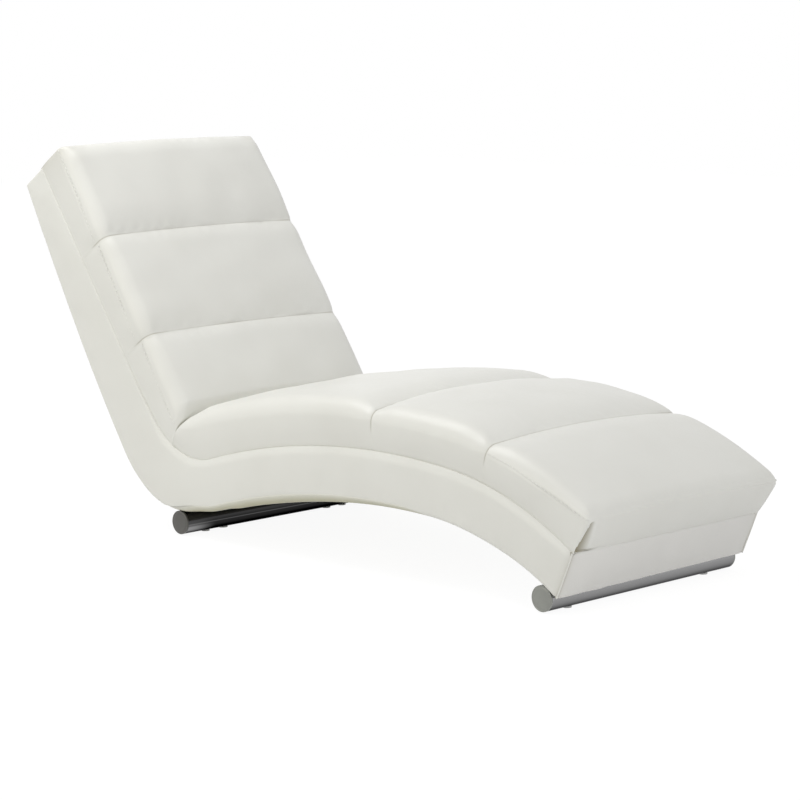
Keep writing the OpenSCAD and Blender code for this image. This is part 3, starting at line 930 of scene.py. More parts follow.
@dataclass(frozen=True)
class Roll:
    """One rolled end of a cushion: how far the roll reaches, how deep it drops and how round it is."""

    length: float
    drop: float
    side_length: float = 26.0
    side_drop: float = 3.0
    power: float = 2.5
    full: bool = False
    arch: float = 0.0
    shoulder: float = 24.0

    def share(self, distance: Array) -> Array:
        """Share of the drop at a distance from the end: a quarter circle where full, else a soft valley."""
        return (quarter_round(distance, self.length) if self.full
                else soft_valley(distance, self.length, self.power))

    def side_share(self, distance: Array) -> Array:
        """Share of the drawing-in of the sides at a distance from the end."""
        return (quarter_round(distance, self.side_length) if self.full
                else soft_valley(distance, self.side_length))


@dataclass(frozen=True)
class ClothSkin:
    """A short cloth run that presses a skin out from inside, kept as small heights on the drawn form."""

    frames: int = 20
    pressure: float = 4.0
    start_in: float = 3.0
    greatest: float = 2.5
    least: float = 0.01
    every: int = 3
    smoothings: int = 6
    quality: int = 6
    mass: float = 0.3
    stretching: float = 15.0
    shearing: float = 5.0
    bending: float = 0.5

    def relief(self, grid: Array, normal: Array, held: Array) -> Array:
        """Run the cloth on every third ring and place and spread its movement over the whole skin.

        Formula: the free points start a little inside the drawn form; their movement along the
        normals is scaled to the greatest height, spread evenly between the coarse points and
        smoothed by the mean of the neighbours.

        Args:
            grid: places of the skin, rings by places round each ring.
            normal: outward normals of the same grid.
            held: which points are sewn down or lie on the deck.

        Returns:
            Heights along the normals, in millimetres, one for each point of the grid.
        """
        rows, cols = held.shape
        r = np.unique(np.append(np.arange(0, rows, self.every), rows - 1))
        c = np.arange(0, cols, self.every)
        form, up, pin = grid[np.ix_(r, c)], normal[np.ix_(r, c)], held[np.ix_(r, c)].astype(float)
        moved = self.simulate(form - up * (self.start_in * (1 - pin))[..., None], pin)
        away = ((moved - form) * up).sum(-1) * (1 - pin)
        top = float(np.abs(away).max())
        if not np.isfinite(top) or top < self.least:
            log.warning("the cloth run gave no movement")
            return np.zeros(held.shape)
        away = away * self.greatest / top
        at = np.arange(rows)
        low = np.clip(np.searchsorted(r, at, "right") - 1, 0, len(r) - 2)
        part = ((at - r[low]) / (r[low + 1] - r[low]))[:, None]
        tall = away[low] * (1 - part) + away[low + 1] * part
        left = np.arange(cols) // self.every
        part = np.arange(cols) / self.every - left
        spread = tall[:, left] * (1 - part) + tall[:, (left + 1) % len(c)] * part
        for _ in range(self.smoothings):
            wide = np.pad(spread, ((1, 1), (0, 0)), "edge")
            spread = 0.25 * (wide[:-2] + wide[2:] + np.roll(spread, 1, 1) + np.roll(spread, -1, 1))
        log.info("cloth run: greatest movement %.1f mm, kept as %.1f mm", top, np.abs(spread).max())
        return spread

    def simulate(self, start: Array, pin: Array) -> Array:
        """Blow up a closed coarse skin for a few frames and take its places; nothing of it stays.

        Args:
            start: the free form's places, rings by places.
            pin: 1 where a point is held.

        Returns:
            The places after the run, in millimetres.
        """
        rows, cols = pin.shape
        points, faces = closed_tube(start, start[[0, -1]].mean(1))
        obj = mesh_object("cloth_run", points, faces)
        group = obj.vertex_groups.new(name="held")
        poles = np.arange(rows * cols, len(points))
        group.add(np.append(np.flatnonzero(pin.ravel() > 0.5), poles).tolist(), 1.0, "ADD")
        cloth = obj.modifiers.new("cloth", "CLOTH")
        rules = cloth.settings
        rules.quality, rules.mass = self.quality, self.mass
        rules.tension_stiffness = rules.compression_stiffness = self.stretching
        rules.shear_stiffness, rules.bending_stiffness = self.shearing, self.bending
        rules.use_pressure, rules.uniform_pressure_force = True, self.pressure
        rules.vertex_group_mass = group.name
        rules.effector_weights.gravity = 0.0
        cloth.point_cache.frame_start, cloth.point_cache.frame_end = 1, self.frames
        scene = bpy.context.scene
        for number in range(1, self.frames + 1):
            scene.frame_set(number)
        seen = obj.evaluated_get(bpy.context.evaluated_depsgraph_get())
        mesh = seen.to_mesh()
        places = np.zeros(len(mesh.vertices) * 3, np.float32)
        mesh.vertices.foreach_get("co", places)
        seen.to_mesh_clear()
        data = obj.data
        bpy.data.objects.remove(obj)
        bpy.data.meshes.remove(data)
        scene.frame_set(1)
        return places.reshape(-1, 3)[:rows * cols].reshape(rows, cols, 3).astype(float) / MM


@dataclass(frozen=True)
class Skin:
    """A cushion's skin, rings by places round each ring.

    It holds the rings' distances from the head end (u), and for every point its station (s), place
    across the width (y), height off the deck (h), place in space (grid) and outward normal. The seam
    is its number in a ring.
    """

    u: Array
    s: Array
    y: Array
    h: Array
    seam: int
    grid: Array
    normal: Array


@dataclass(frozen=True)
class Cushion:
    """One sewn cushion: crowned, drawn in at the deck, with rolled ends that meet in sewn channels."""

    name: str
    begin: float
    length: float
    edge: Pair
    crown: Pair
    shoulder: Pair
    head: Roll
    foot: Roll
    seed: int
    tuck: Pair
    seam: tuple[Pair, ...] = ()
    face_swell: float = 0.0
    half_width: float = 277.0
    side_power: float = 2.2
    gap: float = 0.1
    press: float = 4.0
    pitch: float = 4.0
    shoulder_share: float = 0.7
    upper_side: float = 60.0
    drawn_from: Pair = (150.0, 240.0)
    outer_part: Pair = (205.0, 255.0)
    underside: float = 0.3
    fold: float = 8.0
    seam_above: float = 8.0
    seam_room: float = 12.0
    seam_steps: tuple[float, ...] = (0.4, 0.9, 1.7, 2.6, 3.8, 5.5)
    cuts: tuple[int, ...] = (7, 4, 15, 13, 58)
    pucker_height: float = 0.45
    pucker_wave: float = 21.0
    pucker_at: float = 9.0
    pucker_width: float = 13.0
    broad_height: float = 0.9
    broad_wave: float = 130.0
    # Painted shade: strength of the dark lines painted into the channels (top, sides) and their width, then
    # of the faint shade painted on the head corners and its width.
    channel_painted_shade: Pair = (0.17, 0.28)
    channel_width: float = 1.3
    corner_painted_shade: float = 0.2
    corner_width: float = 22.0
    # Strength of the painted shade in the foot face's folded wedge, then the wedge's own edge, width and
    # depth.
    wedge_painted_shade: float = 0.95
    wedge_edge: Pair = (269.0, 3.0)
    wedge_width: Pair = (3.0, 33.0)
    wedge_depth: float = 1.8
    ridge_height: float = 0.22
    ridge_width: float = 4.0
    groove_depth: float = 0.28
    groove_width: float = 1.1
    swelling: float = 0.3
    swelling_at: float = 5.0
    swelling_width: float = 3.0

    def rings(self) -> Array:
        """Distances of the rings from the head end: even on the rolls' arcs and along the middle."""
        arcs = [roll.length * close_steps(int(14 + roll.length / 7)) for roll in (self.head, self.foot)]
        middle = self.length - self.head.length - self.foot.length
        steps = max(int(middle / self.pitch), 2)
        inner = np.linspace(0, 1, steps + 1)[1:-1] * middle + self.head.length
        u = np.concatenate([arcs[0], inner, self.length - arcs[1][::-1]])
        return np.clip(u, self.gap / 2, self.length - self.gap / 2)

    def along(self, pair: Pair, u: Array) -> Array:
        """A size that goes evenly from one end to the other."""
        return pair[0] + (pair[1] - pair[0]) * u / self.length

    def sizes(self, u: Array) -> tuple[Array, Array, Array, Array]:
        """Half width, edge height, crown and shoulder radius of each ring.

        Formula: a quarter ellipse at each end rolls the edge down, another draws the sides in, and
        the shoulder tightens on the way.

        Args:
            u: the rings' distances from the head end.

        Returns:
            Four columns, one row a ring.
        """
        head, foot = self.head.share(u), self.foot.share(self.length - u)
        edge = self.along(self.edge, u) - head * self.head.drop - foot * self.foot.drop
        r = full = self.along(self.shoulder, u)
        for share, roll in ((head, self.head), (foot, self.foot)):
            r = r - np.maximum(full - roll.shoulder, 0) * smooth_step(share)
        r = np.minimum(r, self.shoulder_share * edge)
        crown = self.along(self.crown, u) + head * self.head.arch + foot * self.foot.arch
        return (self.half_width + 0 * u)[:, None], edge[:, None], crown[:, None], r[:, None]

    def side_valley(self, u: Array) -> Array:
        """How far the sides are drawn in at each ring, fading to nothing towards the deck."""
        return (self.head.side_drop * self.head.side_share(u)
                + self.foot.side_drop * self.foot.side_share(self.length - u))

    def fine_section(self, u: Array) -> tuple[Array, Array, tuple[int, int, int]]:
        """One half of every ring in fine steps, from the middle of the flat side to that of the crown.

        Formula: flat side that dips a little onto the base's edge, a side that bulges in a parabola
        to its widest place, a circular shoulder up to where it has the crown's slope, and a
        parabola to the middle.

        Args:
            u: the rings' distances from the head end.

        Returns:
            Places across the width, heights off the deck, and the numbers of the points where the
            fold ends, the side is widest and the shoulder ends.
        """
        hw, edge, crown, r = self.sizes(u)
        low, press = self.underside, self.press + SEAM.drop(self.begin + u)[:, None]
        tuck = self.along(self.tuck, u)[:, None]
        b = np.linspace(0, 1, 3)[:-1]
        dip = np.linspace(0, 1, 4)
        t = np.linspace(0, 1, 25)[1:]
        slope = np.arctan(2 * crown / (hw - r))
        top = np.linspace(0, 1, 41)[1:] * (math.pi / 2 - slope)
        c = np.linspace(1, 0, 41)[1:]
        y_join, h_join = hw - r + r * np.sin(slope), edge - r * (1 - np.cos(slope))
        y = np.concatenate([
            b * (hw - tuck - self.fold), hw - tuck - self.fold * (1 - dip),
            hw - tuck * (1 - t) ** self.side_power, hw - r * (1 - np.cos(top)), c * y_join], 1)
        h = np.concatenate([
            low + 0 * b + 0 * r, low - (low + press) * smooth_step(1.4 * dip) + 0 * r,
            (edge - r) * t - press * (1 - t),
            edge - r * (1 - np.sin(top)), h_join + np.tan(slope) * y_join / 2 * (1 - c ** 2)], 1)
        drawn = smooth_step(h / self.upper_side) * eased(y, self.drawn_from)
        y = y - self.side_valley(u)[:, None] * drawn
        folded = len(b) + len(dip) - 1
        return y, h, (folded, folded + len(t), folded + len(t) + len(top.T))

    def surface(self, deck: Deck) -> Skin:
        """The cushion's skin on the deck, before it is puckered or pressed out.

        Formula: the fine half section is walked by its own length and cut anew, closely beside the
        side seam and evenly elsewhere, and then mirrored.

        Args:
            deck: the deck it lies on.

        Returns:
            The skin.
        """
        u = self.rings()
        y, h, (folded, wide, shoulder) = self.fine_section(u)
        walk = np.concatenate([np.zeros((len(u), 1)), np.cumsum(np.hypot(np.diff(y), np.diff(h)), 1)], 1)
        near = np.array([*(-v for v in self.seam_steps[::-1]), 0.0, *self.seam_steps])
        at = walk[:, wide] + self.seam_above
        if self.seam:
            height = np.interp(u, *np.array(self.seam).T)
            at = np.array([np.interp(*row) for row in zip(height, h[:, folded:], walk[:, folded:])])
        top = np.maximum(walk[:, shoulder], at + self.seam_room)
        stops = [(0 * at, walk[:, folded - 3]), (walk[:, folded - 3], walk[:, folded]),
                 (walk[:, folded], at + near[0]), (at + near[-1], top), (top, walk[:, -1])]
        parts = [a[:, None] + (b - a)[:, None] * np.linspace(0, 1, n) for (a, b), n in zip(stops, self.cuts)]
        cuts = np.concatenate([part[:, :-1] for part in parts[:3]] + [at[:, None] + near]
                              + [part[:, 1:] for part in parts[3:]], 1)
        seam = sum(self.cuts[:3]) - 3 + len(near) // 2
        y, h = (np.stack([np.interp(*row) for row in zip(cuts, walk, values)]) for values in (y, h))
        y, h = np.concatenate([y, -y[:, -2:0:-1]], 1), np.concatenate([h, h[:, -2:0:-1]], 1)
        s = np.broadcast_to((self.begin + u)[:, None], y.shape)
        grid = deck.place(s, y, h)
        return Skin(u, s, y, h, seam, grid, skin_normals(grid))

    def pucker(self, skin: Skin) -> Array:
        """Small uneven heights of the leather, strongest beside the channels.

        Formula: waves along the channels fade with the distance from them, over broad low waves.

        Args:
            skin: the cushion's skin.

        Returns:
            How far each point moves out along its normal, in millimetres.
        """
        ends = np.minimum(skin.u, self.length - skin.u)[:, None]
        near = bell(ends - self.pucker_at, self.pucker_width)
        across = wrinkle(skin.y, 0.35 * skin.s, self.seed, self.pucker_wave)
        broad = wrinkle(skin.s, skin.y, self.seed + 1, self.broad_wave)
        lift = self.pucker_height * near * across + self.broad_height * broad
        return lift * smooth_step(skin.h / self.upper_side)

    def build(self, deck: Deck) -> Piece:
        """Build the cushion's closed skin.

        Args:
            deck: the deck it lies on.

        Returns:
            The cushion's object.
        """
        skin = self.surface(deck)
        rows, cols = skin.y.shape
        inside = np.minimum(skin.u, self.length - skin.u)[:, None]
        lift = self.pucker(skin)
        held = (inside < 1.0) | (skin.h < 6.0)
        if self.seam:
            held[:, [at + k for at in (skin.seam, cols - skin.seam) for k in range(-2, 3)]] = True
        lift = lift + ClothSkin().relief(skin.grid, skin.normal, held)
        lift = lift * smooth_step(inside / 6.0)
        if self.seam:
            lift = lift - self.groove(skin.grid, skin.seam) * smooth_step(inside / 3.0)
        grid = skin.grid + skin.normal * (lift * eased(skin.h, (1.0, 11.0)))[..., None]
        points, faces, count = [grid.reshape(-1, 3)], [grid_quads(rows, cols, 0, True)], rows * cols
        # Painted shade for the channels and head corners of the skin, then for each end wall's wedge.
        painted_shades = [self.painted_shade(skin).ravel()]
        for row in (0, rows - 1):
            extra, blocks, painted_shade = self.wall(deck, skin, grid[row], row, count)
            points.append(extra)
            faces += blocks
            painted_shades.append(painted_shade)
            count += len(extra)
        obj = mesh_object(self.name + "_cushion", np.concatenate(points), faces)
        set_painted_shade(obj, np.concatenate(painted_shades))
        return obj

    def painted_shade(self, skin: Skin) -> Array:
        """Painted shade on the skin: thin dark lines painted into the channels and a faint painted shade on
        the head corners, which dims their highlight.

        Formula: bell curves over the distance from each end that lies in a channel, stronger at the
        sides than across the top.

        Args:
            skin: the cushion's skin.

        Returns:
            The painted shade, 0 to 1.
        """
        outer = eased(np.abs(skin.y), self.outer_part)
        # The dark channel lines below are painted shade.
        sewn = np.zeros_like(skin.y)
        for away, inner in ((skin.u, self.begin > 0), (self.length - skin.u, self.face_swell == 0)):
            sewn = sewn + float(inner) * bell(away[:, None], self.channel_width)
        corner = self.corner_painted_shade * float(self.begin == 0) * np.exp(-skin.u[:, None] / self.corner_width)
        top, side = self.channel_painted_shade
        return np.clip((top + side * outer) * sewn * eased(skin.h, (30.0, 55.0)) + corner * outer, 0, 1)

    def wall(self, deck: Deck, skin: Skin, ring: Array, row: int,
             first: int) -> tuple[Array, list[Array], Array]:
        """Close one end with rings drawn in towards its middle, swollen where the end shows.

        Args:
            deck: the deck it lies on.
            skin: the cushion's skin.
            ring: the places of the last ring.
            row: the last ring's number.
            first: the number of the next point.

        Returns:
            The new points, the faces and the points' painted shade.
        """
        y, h, station = skin.y[row], skin.h[row], skin.s[row, 0]
        cols, shown = len(y), bool(row and self.face_swell)
        fine = np.concatenate([np.linspace(0.995, 0.8, 32), [0.75, 0.65, 0.5, 0.35, 0.2]])
        shares = fine if shown else np.array([0.94, 0.7, 0.35])
        mid, level = h.mean(), np.maximum(h, self.underside)
        all_y, all_h = shares[:, None] * y, mid + shares[:, None] * (level - mid)
        out, painted_shade = np.zeros_like(all_y), np.zeros_like(all_y)
        if shown:
            out = self.face_swell * self.face_form(all_y, all_h, h.max())
            # Painted shade in the wedge folded in beside the foot face's corner.
            painted_shade = self.wedge_painted_shade * self.wedge(all_y, np.clip(all_h / h.max(), 0, 1))
        rings = deck.place(station + out, all_y, all_h)
        if shown:
            rings[0] = 0.5 * (rings[0] + ring)
        faces, last = [], row * cols + np.arange(cols)
        for k in range(len(shares)):
            here = first + k * cols + np.arange(cols)
            faces.append(np.stack([last, np.roll(last, -1), np.roll(here, -1), here], -1))
            last = here
        faces.append(fan(last, first + len(shares) * cols))
        pole = deck.place(np.array([station + out.mean(1)[-1]]), 0.0, mid)
        if row:
            faces = [block[:, ::-1] for block in faces]
        return np.concatenate([rings.reshape(-1, 3), pole.reshape(-1, 3)]), faces, np.append(painted_shade, 0.0)

    def face_form(self, y: Array, h: Array, top: float) -> Array:
        """How the foot face stands out: a low pillow with a wedge folded in beside its right corner."""
        share = np.clip(h / top, 0, 1)
        swell = (1 - np.abs(y / self.half_width) ** np.where(y > 0, 8, 2)) * np.sin(math.pi * share) ** 0.7
        corner, wide = self.wedge_line(share)
        ridge = bell(corner - wide - 2.0 + y, self.ridge_width) * smooth_step((1 - share) / 0.2)
        return swell - self.wedge_depth * self.wedge(y, share) + self.ridge_height * ridge

    def wedge_line(self, share: Array) -> tuple[Array, Array]:
        """The wedge's outer edge and its width, at a share of the face's height."""
        return (self.wedge_edge[0] - self.wedge_edge[1] * share,
                self.wedge_width[0] + self.wedge_width[1] * (1 - share))

    def wedge(self, y: Array, share: Array) -> Array:
        """Depth from 0 to 1 of the wedge folded in at the right: steep at the corner, running out inwards."""
        corner, wide = self.wedge_line(share)
        inward = np.clip((corner + y) / wide, 0, 1)
        return np.sin(math.pi * inward ** 0.45) * smooth_step((1 - share) / 0.25)

    def groove(self, grid: Array, seam: int) -> Array:
        """Depth of the sewn line along both sides, about 2 mm wide, and the swelling beside it."""
        total = np.zeros(grid.shape[:2])
        for at in (seam, grid.shape[1] - seam):
            d = np.linalg.norm(grid - grid[:, at:at + 1], axis=-1)
            total += (self.groove_depth * bell(d, self.groove_width)
                      - self.swelling * bell(d - self.swelling_at, self.swelling_width))
        return total


@dataclass(frozen=True)
class Stitches:
    """A row of stitches along both sides of a cushion, beside its side seam."""

    pitch: float = 10.8
    length: float = 6.8
    radius: float = 1.1
    off_seam: float = 2.6
    sunk: float = -0.3
    from_ends: float = 9.0
    sides: int = 6
    along: tuple[float, ...] = (-0.5, -0.36, 0.0, 0.36, 0.5)
    thick: tuple[float, ...] = (0.35, 0.85, 1.0, 0.85, 0.35)
    lifted: tuple[float, ...] = (-0.55, -0.05, 0.1, -0.05, -0.55)

    def build(self, cushion: Cushion, deck: Deck) -> Piece:
        """Build the stitches as one piece.

        Formula: the line beside the seam is walked by its own length; at each pitch a small capsule
        of six sides lies along it, its ends drawn down into the leather.

        Args:
            cushion: the cushion that carries them.
            deck: the deck it lies on.

        Returns:
            The stitches' object.
        """
        skin = cushion.surface(deck)
        rings, sides = len(self.along), self.sides
        shift = int(np.argmin(np.abs(np.array(cushion.seam_steps) - self.off_seam))) + 1
        turn = round_turns(sides)
        along, size = np.array(self.along) * self.length, np.array(self.thick)[:, None] * self.radius
        lift = (np.array(self.lifted) * self.radius - self.sunk)[:, None]
        last = (rings - 1) * sides
        one = np.concatenate([grid_quads(rings, sides, 0, True), [[0, 5, 4, 3], [0, 3, 2, 1]],
                              [[last, last + 1, last + 2, last + 3], [last, last + 3, last + 4, last + 5]]])
        points, faces, count = [], [], 0
        for at in (skin.seam + shift, skin.y.shape[1] - skin.seam - shift):
            line = skin.grid[:, at]
            walk = np.concatenate([[0.0], np.cumsum(np.linalg.norm(np.diff(line, axis=0), axis=1))])
            centre = np.arange(self.from_ends, walk[-1] - self.from_ends, self.pitch)
            middle, up = walked(centre, walk, line), walked(centre, walk, skin.normal[:, at])
            ahead = walked(centre + 0.5, walk, line) - middle
            ahead /= np.linalg.norm(ahead, axis=1, keepdims=True)
            across = np.cross(ahead, up)
            rings_at = (middle[:, None, None] + ahead[:, None, None] * along[None, :, None, None]
                        + up[:, None, None] * (lift + size * np.sin(turn))[None, ..., None]
                        + across[:, None, None] * (size * np.cos(turn))[None, ..., None])
            points.append(rings_at.reshape(-1, 3))
            starts = count + rings * sides * np.arange(len(centre))
            faces.append((one[None] + starts[:, None, None]).reshape(-1, 4))
            count += len(points[-1])
        return mesh_object(cushion.name + "_stitches", np.concatenate(points), faces)


@dataclass(frozen=True)
class CushionSet:
    """The six cushions from head to foot, with the channels between them."""

    deck: Deck
    back_channel: float = 9.0
    leg_channel: float = 16.0
    foot_swell: float = 4.0

    def cushions(self) -> list[Cushion]:
        """The cushions' sizes, from the head end."""
        b, g = self.back_channel, self.leg_channel
        head_end, foot_end = Roll(46, 28, 13, 3, full=True, shoulder=9), Roll(28, 14, 7, 4, full=True)
        head_seam = ((0, 66), (46, 65.5), (101, 64.5), (157, 60), (216, 54), (233, 52))
        back_seam = ((0, 60), (53, 57.5), (116, 54.5), (196, 48.5), (242, 46))
        calf_seam = ((0, 60), (72, 62), (124, 62), (175, 65), (214, 70), (250, 77))
        even, flat = (97, 97), (8, 8)
        rows = [
            ("headrest", 233, (99, 99), flat, (30, 32), head_end, Roll(84, b + 2), (5, 5), head_seam),
            ("upper_back", 242, even, flat, (32, 32), Roll(44, b), Roll(84, b), (5, 5), back_seam),
            ("lumbar", 228, even, flat, (32, 32), Roll(44, b), Roll(58, 38, full=True), (5, 10), back_seam),
            ("seat", 617, (111, 100), (8, 15), (42, 42), Roll(144, 59, full=True), Roll(84, g + 5, arch=5),
             (12, 13), ()),
            ("thigh", 292, (95, 95), (15, 10), (42, 42), Roll(60, g, arch=5), Roll(84, g + 2, arch=3),
             (13, 13), ()),
            ("calf", 250, (92, 92), (10, 8), (42, 16), Roll(60, g - 1, arch=3), foot_end,
             (13, 10), calf_seam),
        ]
        made, begin = [], 0.0
        for i, (name, length, edge, crown, shoulder, head, foot, tuck, seam) in enumerate(rows):
            swell = self.foot_swell if i == len(rows) - 1 else 0.0
            made.append(Cushion(name, begin, float(length), edge, crown, shoulder, head, foot, 11 + 10 * i,
                                tuck, seam, swell))
            begin += length
        return made

    def build(self, wardrobe: Wardrobe) -> None:
        """Build and dress every cushion and hide the solids it stands for."""
        for cushion in self.cushions():
            obj = cushion.build(self.deck)
            nodes = cushion.name + "_cover", cushion.name + "_foam"
            wardrobe.put_on(obj, Finish.CUSHION_LEATHER, LEATHER, *nodes)
            if cushion.seam:
                wardrobe.put_on(Stitches().build(cushion, self.deck), Finish.THREAD, LEATHER)


# The base's upholstery


@dataclass(frozen=True)
class BaseLeather:
    """The padded leather of the S-shaped base: sides, underside, head end and foot end."""

    deck: Deck
    leather_t: float = 2.0
    top_reach: float = 22.0
    under_round: float = 9.0
    seam_line: float = 96.2
    roll_width: float = 11.0
    belly: Pair = (108.3, 113.0)
    foot_rise: float = 5.0
    end_round: float = 5.0
    end_reach: float = 15.0
    corner_in: float = 2.6
    bulge: float = 3.0
    piping_r: float = 1.7
    seam_rises: Pair = (715.0, 800.0)
    seam_falls: Pair = (1400.0, 1530.0)
    hip_deepest: float = 700.0
    hip_ends: float = 845.0
    belly_grows: Pair = (835.0, 900.0)
    hang_ends: Pair = (980.0, 1560.0)
    hip_softness: float = 3.0
    hip_fade: float = 60.0
    upper_lip: float = 8.0
    roll_gap: float = 0.6
    lip_rise: float = 3.0
    sag: float = 0.4
    sag_wave: float = 160.0
    panel_waves: Pair = (0.35, 90.0)
    end_waves: Pair = (0.3, 60.0)
    end_swell: float = 2.2
    # Strengths of the painted shade beside the foot corner's piping: close to it and further out.
    fold_painted_shade: Pair = (0.55, 0.22)
    side_in: float = 1.0
    inset_reach: Pair = (3.0, 2.8)
    near_end: float = 60.0
    end_drops: tuple[Pair, Pair, Pair] = ((2.6, 13.0), (3.0, 8.0), (2.5, 5.0))
    under_step: float = 7.5
    piping_in: Pair = (2.2, 0.9)
    piping_sides: int = 12
    piping_places: int = 40

    def rolled_up(self, s: Array) -> Array:
        """How far the underside's leather comes up the sides, 0 to 1: only behind and under the seat."""
        return eased(s, self.seam_rises) * (1 - eased(s, self.seam_falls))

    def seam_up(self, s: Array) -> Array:
        """How far above the base's underside the sides' lower seam runs."""
        return self.rolled_up(s) * (self.deck.depth(s) - self.seam_line)

    def hanging(self, s: Array) -> Array:
        """How far the underside's leather hangs below the base, in a soft roll under the seat and the knees.

        Formula: behind the seat the roll keeps one depth while the base gets shallower, softened where
        the two meet; from the seat on it follows the base and eases off towards the foot end.

        Args:
            s: stations from the head end.

        Returns:
            The heights of the roll below the base at those stations.
        """
        low, deep = self.belly
        line = low + (deep - low) * eased(s, self.belly_grows)
        room = line - np.where(s < self.hip_ends, self.deck.depth(s), self.deck.seat_depth)
        grown = (room + np.sqrt(room ** 2 + self.hip_softness ** 2)) / 2
        return grown * smooth_step((s - self.hip_deepest) / self.hip_fade) * (1 - eased(s, self.hang_ends))

    def foot_lift(self, y: Array, share: Array) -> Array:
        """How far the foot end's lower edge rises towards the left corner; share is 1 at that edge."""
        return self.foot_rise * smooth_step(y / self.deck.base_w + 0.5) * share ** 2

    def side_grid(self, s: Array, t: Array) -> Array:
        """Places of one side's leather.

        Formula: the panel spans the deck and the seam at the underside; it turns in a parabola
        towards the deck, in a quarter circle towards each end and, where the seam lies under the
        base, towards the underside, and bulges by a low arch between them.

        Args:
            s: shares of the way from the head end to the foot end.
            t: shares of the way down from the deck to the seam.

        Returns:
            A grid of places, for the left side.
        """
        deck, half, r = self.deck, self.deck.base_w / 2, self.under_round
        s, t = np.meshgrid(s, t, indexing="ij")
        top = s * deck.length
        low = s * deck.low_length
        depth, up = deck.depth(low), self.rolled_up(low)
        drop, inset = SEAM.drop(top), SEAM.inset(top)
        down = drop + t * (depth - self.seam_up(low) - drop)
        station = top + (low - top) * down / depth
        from_head, from_foot = station, (1 - s) * deck.length
        reach = self.inset_reach[0] + self.inset_reach[1] * inset
        y = half - self.side_in - inset * soft_valley(down - drop, reach)
        y = y - r * (1 - up) * quarter_round(depth - down, r)
        y = y - self.end_round * quarter_round(from_head, self.end_round)
        y = y - self.end_round * soft_valley(from_foot, self.end_reach)
        away = smooth_step(np.minimum(from_head, from_foot) / self.near_end)
        y = y + self.bulge * away * np.sin(math.pi * np.clip(t, 0, 1)) ** 0.8
        height, wave = self.panel_waves
        fade = smooth_step(down / 20.0) * smooth_step((1 - t) / 0.1)
        y = y + height * wrinkle(station, down, 71, wave) * fade
        return deck.place(station, y, -down)

    def side(self, sign: float, name: str) -> Piece:
        """Build one side's leather with its thickness.

        Args:
            sign: 1 for the left side and -1 for the right.
            name: the piece's name.

        Returns:
            The panel's object.
        """
        deck, depth = self.deck, 100.0
        ends = close_steps(9)
        last = deck.length - self.corner_in
        run = np.concatenate([ends * 5.0, np.arange(8.0, last - 18.0, 5.0), last - ends[::-1] * 16.0])
        rows = np.concatenate([np.linspace(0, 1, 13) * self.top_reach,
                               np.linspace(self.top_reach + 3, depth - 12, 18), depth - ends[::-1] * 10.0])
        grid = self.side_grid(run / deck.length, rows / depth)
        grid = np.concatenate([grid[:, :1] - np.array([0.0, self.upper_lip, 0.0]), grid], 1)
        grid[..., 1] *= sign
        down = np.concatenate([[0.0], rows]) / depth
        grid[..., 2] += self.foot_lift(grid[..., 1], down * eased(run, (last - self.near_end, last))[:, None])
        obj = open_sheet(name, grid, (0.0, sign, 0.0), self.leather_t)
        # Painted shade beside the foot corner's piping, stronger lower down the side.
        set_painted_shade(obj, 0.75 * self.corner_painted_shade(deck.length - run)[:, None] * (0.35 + 0.65 * down))
        return obj

    def corner_painted_shade(self, distance: Array) -> Array:
        """How much painted shade a place gets in the sewn corner's fold, by its distance from the piping."""
        sharp, wide = self.fold_painted_shade
        return sharp * np.exp(-np.maximum(distance - 2.0, 0) / 2.2) + wide * np.exp(-distance / 9.0)

    def underside(self) -> Piece:
        """Build the leather of the back and underside, rolled up both sides to the seam.

        Formula: a flat strip under the base, carried along the underside's curve and hanging a
        little below it; where the seam stands up the side its edges follow a quarter ellipse, and
        elsewhere they turn into the base as a short hidden lip.

        Returns:
            The panel's object.
        """
        deck, half, r = self.deck, self.deck.base_w / 2, self.roll_width
        turn = np.linspace(0, math.pi / 2, 10)[1:]
        flat = np.linspace(0, half - r, 24)
        y_up = np.concatenate([flat, half - r + r * np.sin(turn)])
        up = np.concatenate([0 * flat, 1 - np.cos(turn)])
        y_lip = np.concatenate([flat, np.full(9, half - r) + 0.8 * np.sin(np.linspace(0, math.pi, 9))])
        lip = np.concatenate([0 * flat, self.lip_rise * np.linspace(0.1, 1, 9) ** 2])
        both = [np.concatenate([sign * v[:0:-1], v])
                for sign, v in ((-1, y_up), (1, up), (-1, y_lip), (1, lip))]
        end = deck.low_length
        s = np.append(np.arange(0.0, end - 8.0, self.under_step), end - 4.0)
        share, hang = self.rolled_up(s)[:, None], self.hanging(s)[:, None]
        grid_y = share * both[0] + (1 - share) * both[2]
        grid_up = both[1] * (self.seam_up(s)[:, None] + share * (self.roll_gap + hang))
        grid_up = grid_up + (1 - share) * both[3]
        grid_s = np.broadcast_to(s[:, None], grid_y.shape)
        sag = self.sag * wrinkle(grid_s, grid_y, 91, self.sag_wave)
        sag = sag * smooth_step((half - 30 - np.abs(grid_y)) / 60)
        lift = self.foot_lift(grid_y, eased(grid_s, (end - self.near_end, end)))
        grid = deck.place(grid_s, grid_y, grid_up - deck.depth(grid_s) - hang + sag + lift)
        obj = open_sheet("underside_leather", grid, (-0.3, 0.0, -1.0), self.leather_t)
        # Painted shade where the leather rolls up the sides behind and under the seat: full on the flat
        # underside, fading to a fifth up the roll.
        set_painted_shade(obj, share * (1 - 0.8 * both[1]))
        return obj

